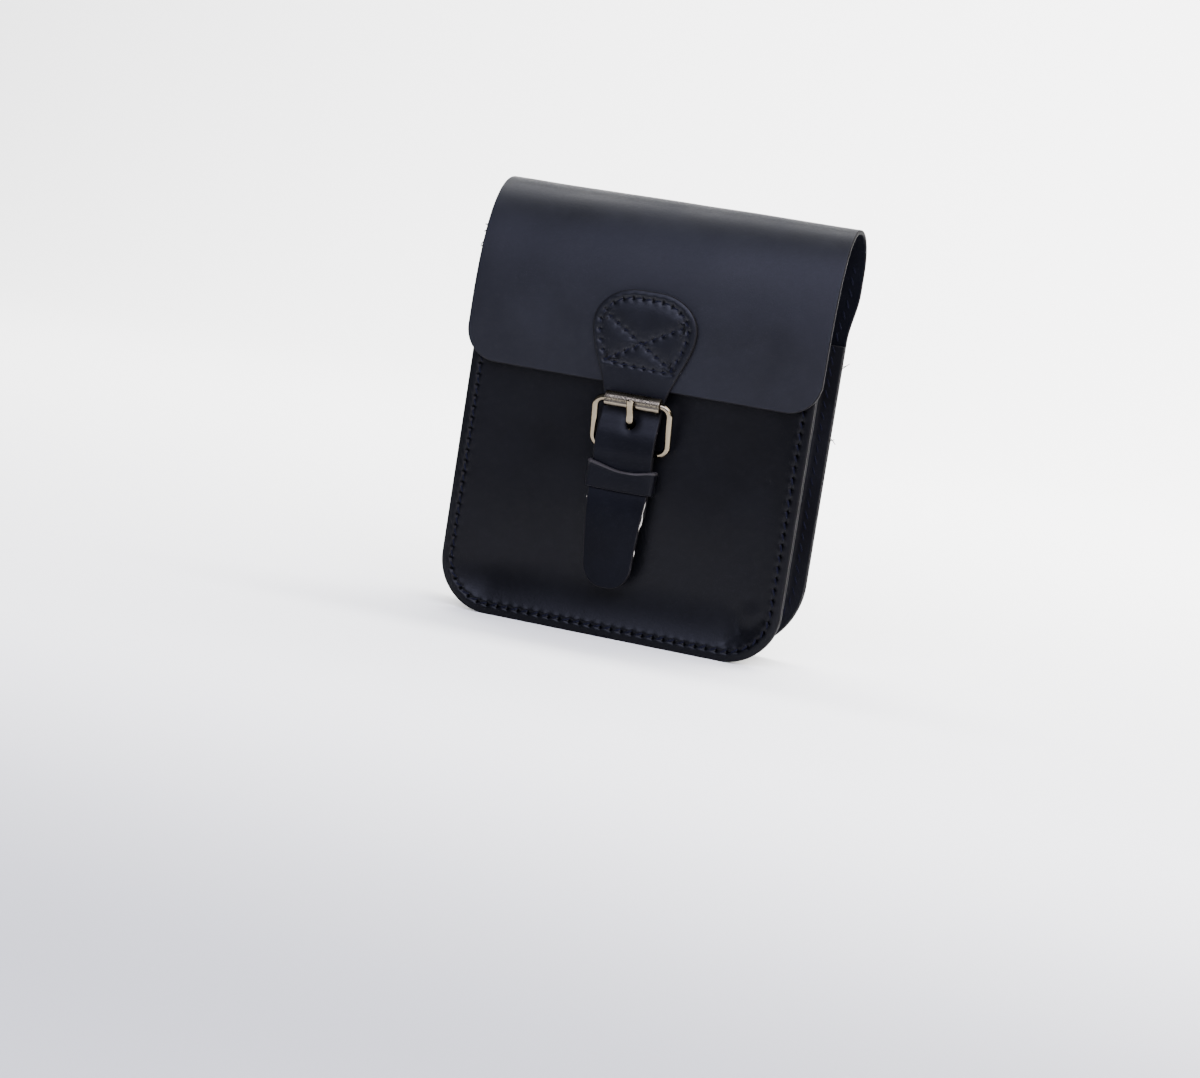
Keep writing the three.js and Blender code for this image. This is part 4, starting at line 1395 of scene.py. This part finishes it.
def make_stitches():
    forwards, backwards = (0, -1, 0), (0, 1, 0)
    seam = panel_outline(body_half, sewn_top, panel_corner, seam_inset, 40)
    relief = panel_relief(seam[:, 0], seam[:, 1], np.full(len(seam), seam_inset)) - seam_sink
    flange = panel_outline(body_half, flange_top, panel_corner, seam_inset, 40)
    rows = [(stand(seam, -relief - thread_lift), forwards),
            (stand(flange, gusset_front + gusset_leather + thread_gap), backwards)]
    sew("front_seam_stitches", rows, stitch_pitch, seam_stitch)
    seam = panel_outline(body_half, sewn_top, back_corner, seam_inset, 40)
    flange = panel_outline(body_half, flange_top, back_corner, seam_inset, 40)
    rows = [(stand(seam, body_depth - seam_sink + thread_lift), backwards),
            (stand(flange, gusset_back - gusset_leather - thread_gap), forwards)]
    for side in (-1, 1):
        line = [(side * (back_half_width(z) - seam_inset), z) for z in above_mouth]
        rows += [(stand(line, body_depth + thread_gap), backwards),
                 (stand(line, body_depth - panel_leather - thread_gap), forwards)]
    sew("back_seam_stitches", rows, stitch_pitch, seam_stitch)
    rows = [(on_strap(line, -head_thread_sink), forwards) for line in head_seams()]
    sew("strap_head_stitches", rows, pitch=4.6, length=3.3, slant=0.30, radius=0.34, rise=0.26)
    # Only the left loop's two rows are drawn, each of them sewn over twice.
    x, height = loop_middles[0]
    rows = []
    for z in (height - loop_seam_rise, height + loop_seam_rise) * 2:
        line = [(x - loop_seam_half, z), (x + loop_seam_half, z)]
        rows.append((stand(line, body_depth + loop_leather + loop_thread_lift), backwards))
    sew("loop_stitches", rows, pitch=4.0, length=3.0, slant=0.2)


stitch_nodes = stitch_tree()
thread_look = thread_material()
make_stitches()


# Thread ends: cut ends of the seam's thread, which stick out where each row begins or was mended.
# Each has its start, the way it points, its length and how far its tip has curled.
loose_ends = [((-1.2, 0.4, 0.6), (-0.3, -1, -0.1), 2.6, (-0.8, 0, 0.1)),
              ((0.8, 0.4, 0.5), (0.3, -1, 0), 2.2, (0.9, 0, 0)),
              ((3.2, 0.4, 0.5), (0.5, -0.9, 0), 3.2, (0.4, 0, 0.4)),
              ((body_half, 42.5, 143.5), (1, 0.1, 0.25), 3.0, (0.2, 0, 1.2)),
              ((body_half, 42.5, 142.6), (1, -0.2, 0.9), 2.0, (0.4, 0, 0.3)),
              ((body_half, 42.5, 109), (1, 0, -0.6), 2.8, (0.3, 0, -1.0)),
              ((body_half, 41.8, 108), (1, 0, 0.1), 1.8, (0.2, 0, 0.8)),
              ((-body_half, 43, 150), (-1, 0, 0.4), 2.2, (0, 0, 0.8))]


def thread_end(start, way, length, curl, radius=0.22):
    start, way, curl = (np.array(v, float) for v in (start, way, curl))
    way = way / np.linalg.norm(way)
    t = np.linspace(0, 1, 9)[:, None]
    line = start + way * length * t + curl * t * t
    return sweep(line, radius * (1 - 0.3 * t[:, 0]), False, 6)


smooth_piece("thread_ends", [thread_end(*end) for end in loose_ends], thread_look)


# Frayed spot: a few fibres of the leather stand out of the flap's left edge below the roll. Each has
# its height, the way it points, its length and its thickness.
edge_fibres = [(184, (-1, -0.2, 0.4), 1.8, 0.45), (181.5, (-1, -0.2, -0.3), 1.5, 0.4),
               (177, (-0.5, -0.3, -0.9), 3.0, 0.3), (174.5, (-0.8, -0.3, -0.5), 1.6, 0.35)]
fibre_root = 0.6
fibre_depth = 0.9


def make_edge_fibres():
    parts = []
    for height, way, length, radius in edge_fibres:
        place, look = on_back(np.array([-flap_half]), np.array([middle_path.falls_to(height)]))
        depth, up = place[0] - fibre_depth * look[0]
        parts.append(thread_end((-flap_half + fibre_root, depth, up), way, length, (0, 0, -0.5), radius))
    return smooth_piece("flap_edge_fibres", parts, black_edge)


make_edge_fibres()


# Raw fibres: where the dye has worn off the strap's edge below the keeper, pale leather shows. Each
# strand has its places as (x, height), and its thickness at each.
frays = [([(14.4, 69.6), (14.35, 66), (14.0, 62.5), (14.3, 60.5), (14.1, 57.5), (13.3, 55.2), (13.2, 53.4),
           (12.7, 51.8)], (0.08, 0.18, 0.12, 0.22, 0.40, 0.26, 0.14, 0.05)),
         ([(12.75, 44.6), (12.7, 43.2), (12.6, 41.6)], (0.08, 0.24, 0.1)),
         ([(-14.25, 66.2), (-14.25, 65.4)], (0.22, 0.22))]
raw_dark = (0.13, 0.12, 0.10)
raw_light = (0.58, 0.55, 0.49)
fray_depth = 0.5


def raw_leather():
    look, tree, shader, place = new_look("raw_leather")
    cloud = noise(tree, place, scale=1200, detail=3)
    colour = blend(tree, cloud, dyed(raw_dark), dyed(raw_light))
    feed(tree, shader, {"Base Color": colour, "Roughness": 0.85})
    return look


def make_frays():
    parts = []
    for places, radii in frays:
        along = [np.interp(-z, -strap_path.points[:, 1], strap_path.reach) for _, z in places]
        depth = strap_path.at(along)[:, 0] - strap_leather + fray_depth
        parts.append(sweep(stand(places, depth), radii, False, 8, flat=0.8))
    return smooth_piece("raw_edge_fibres", parts, raw_leather())


make_frays()
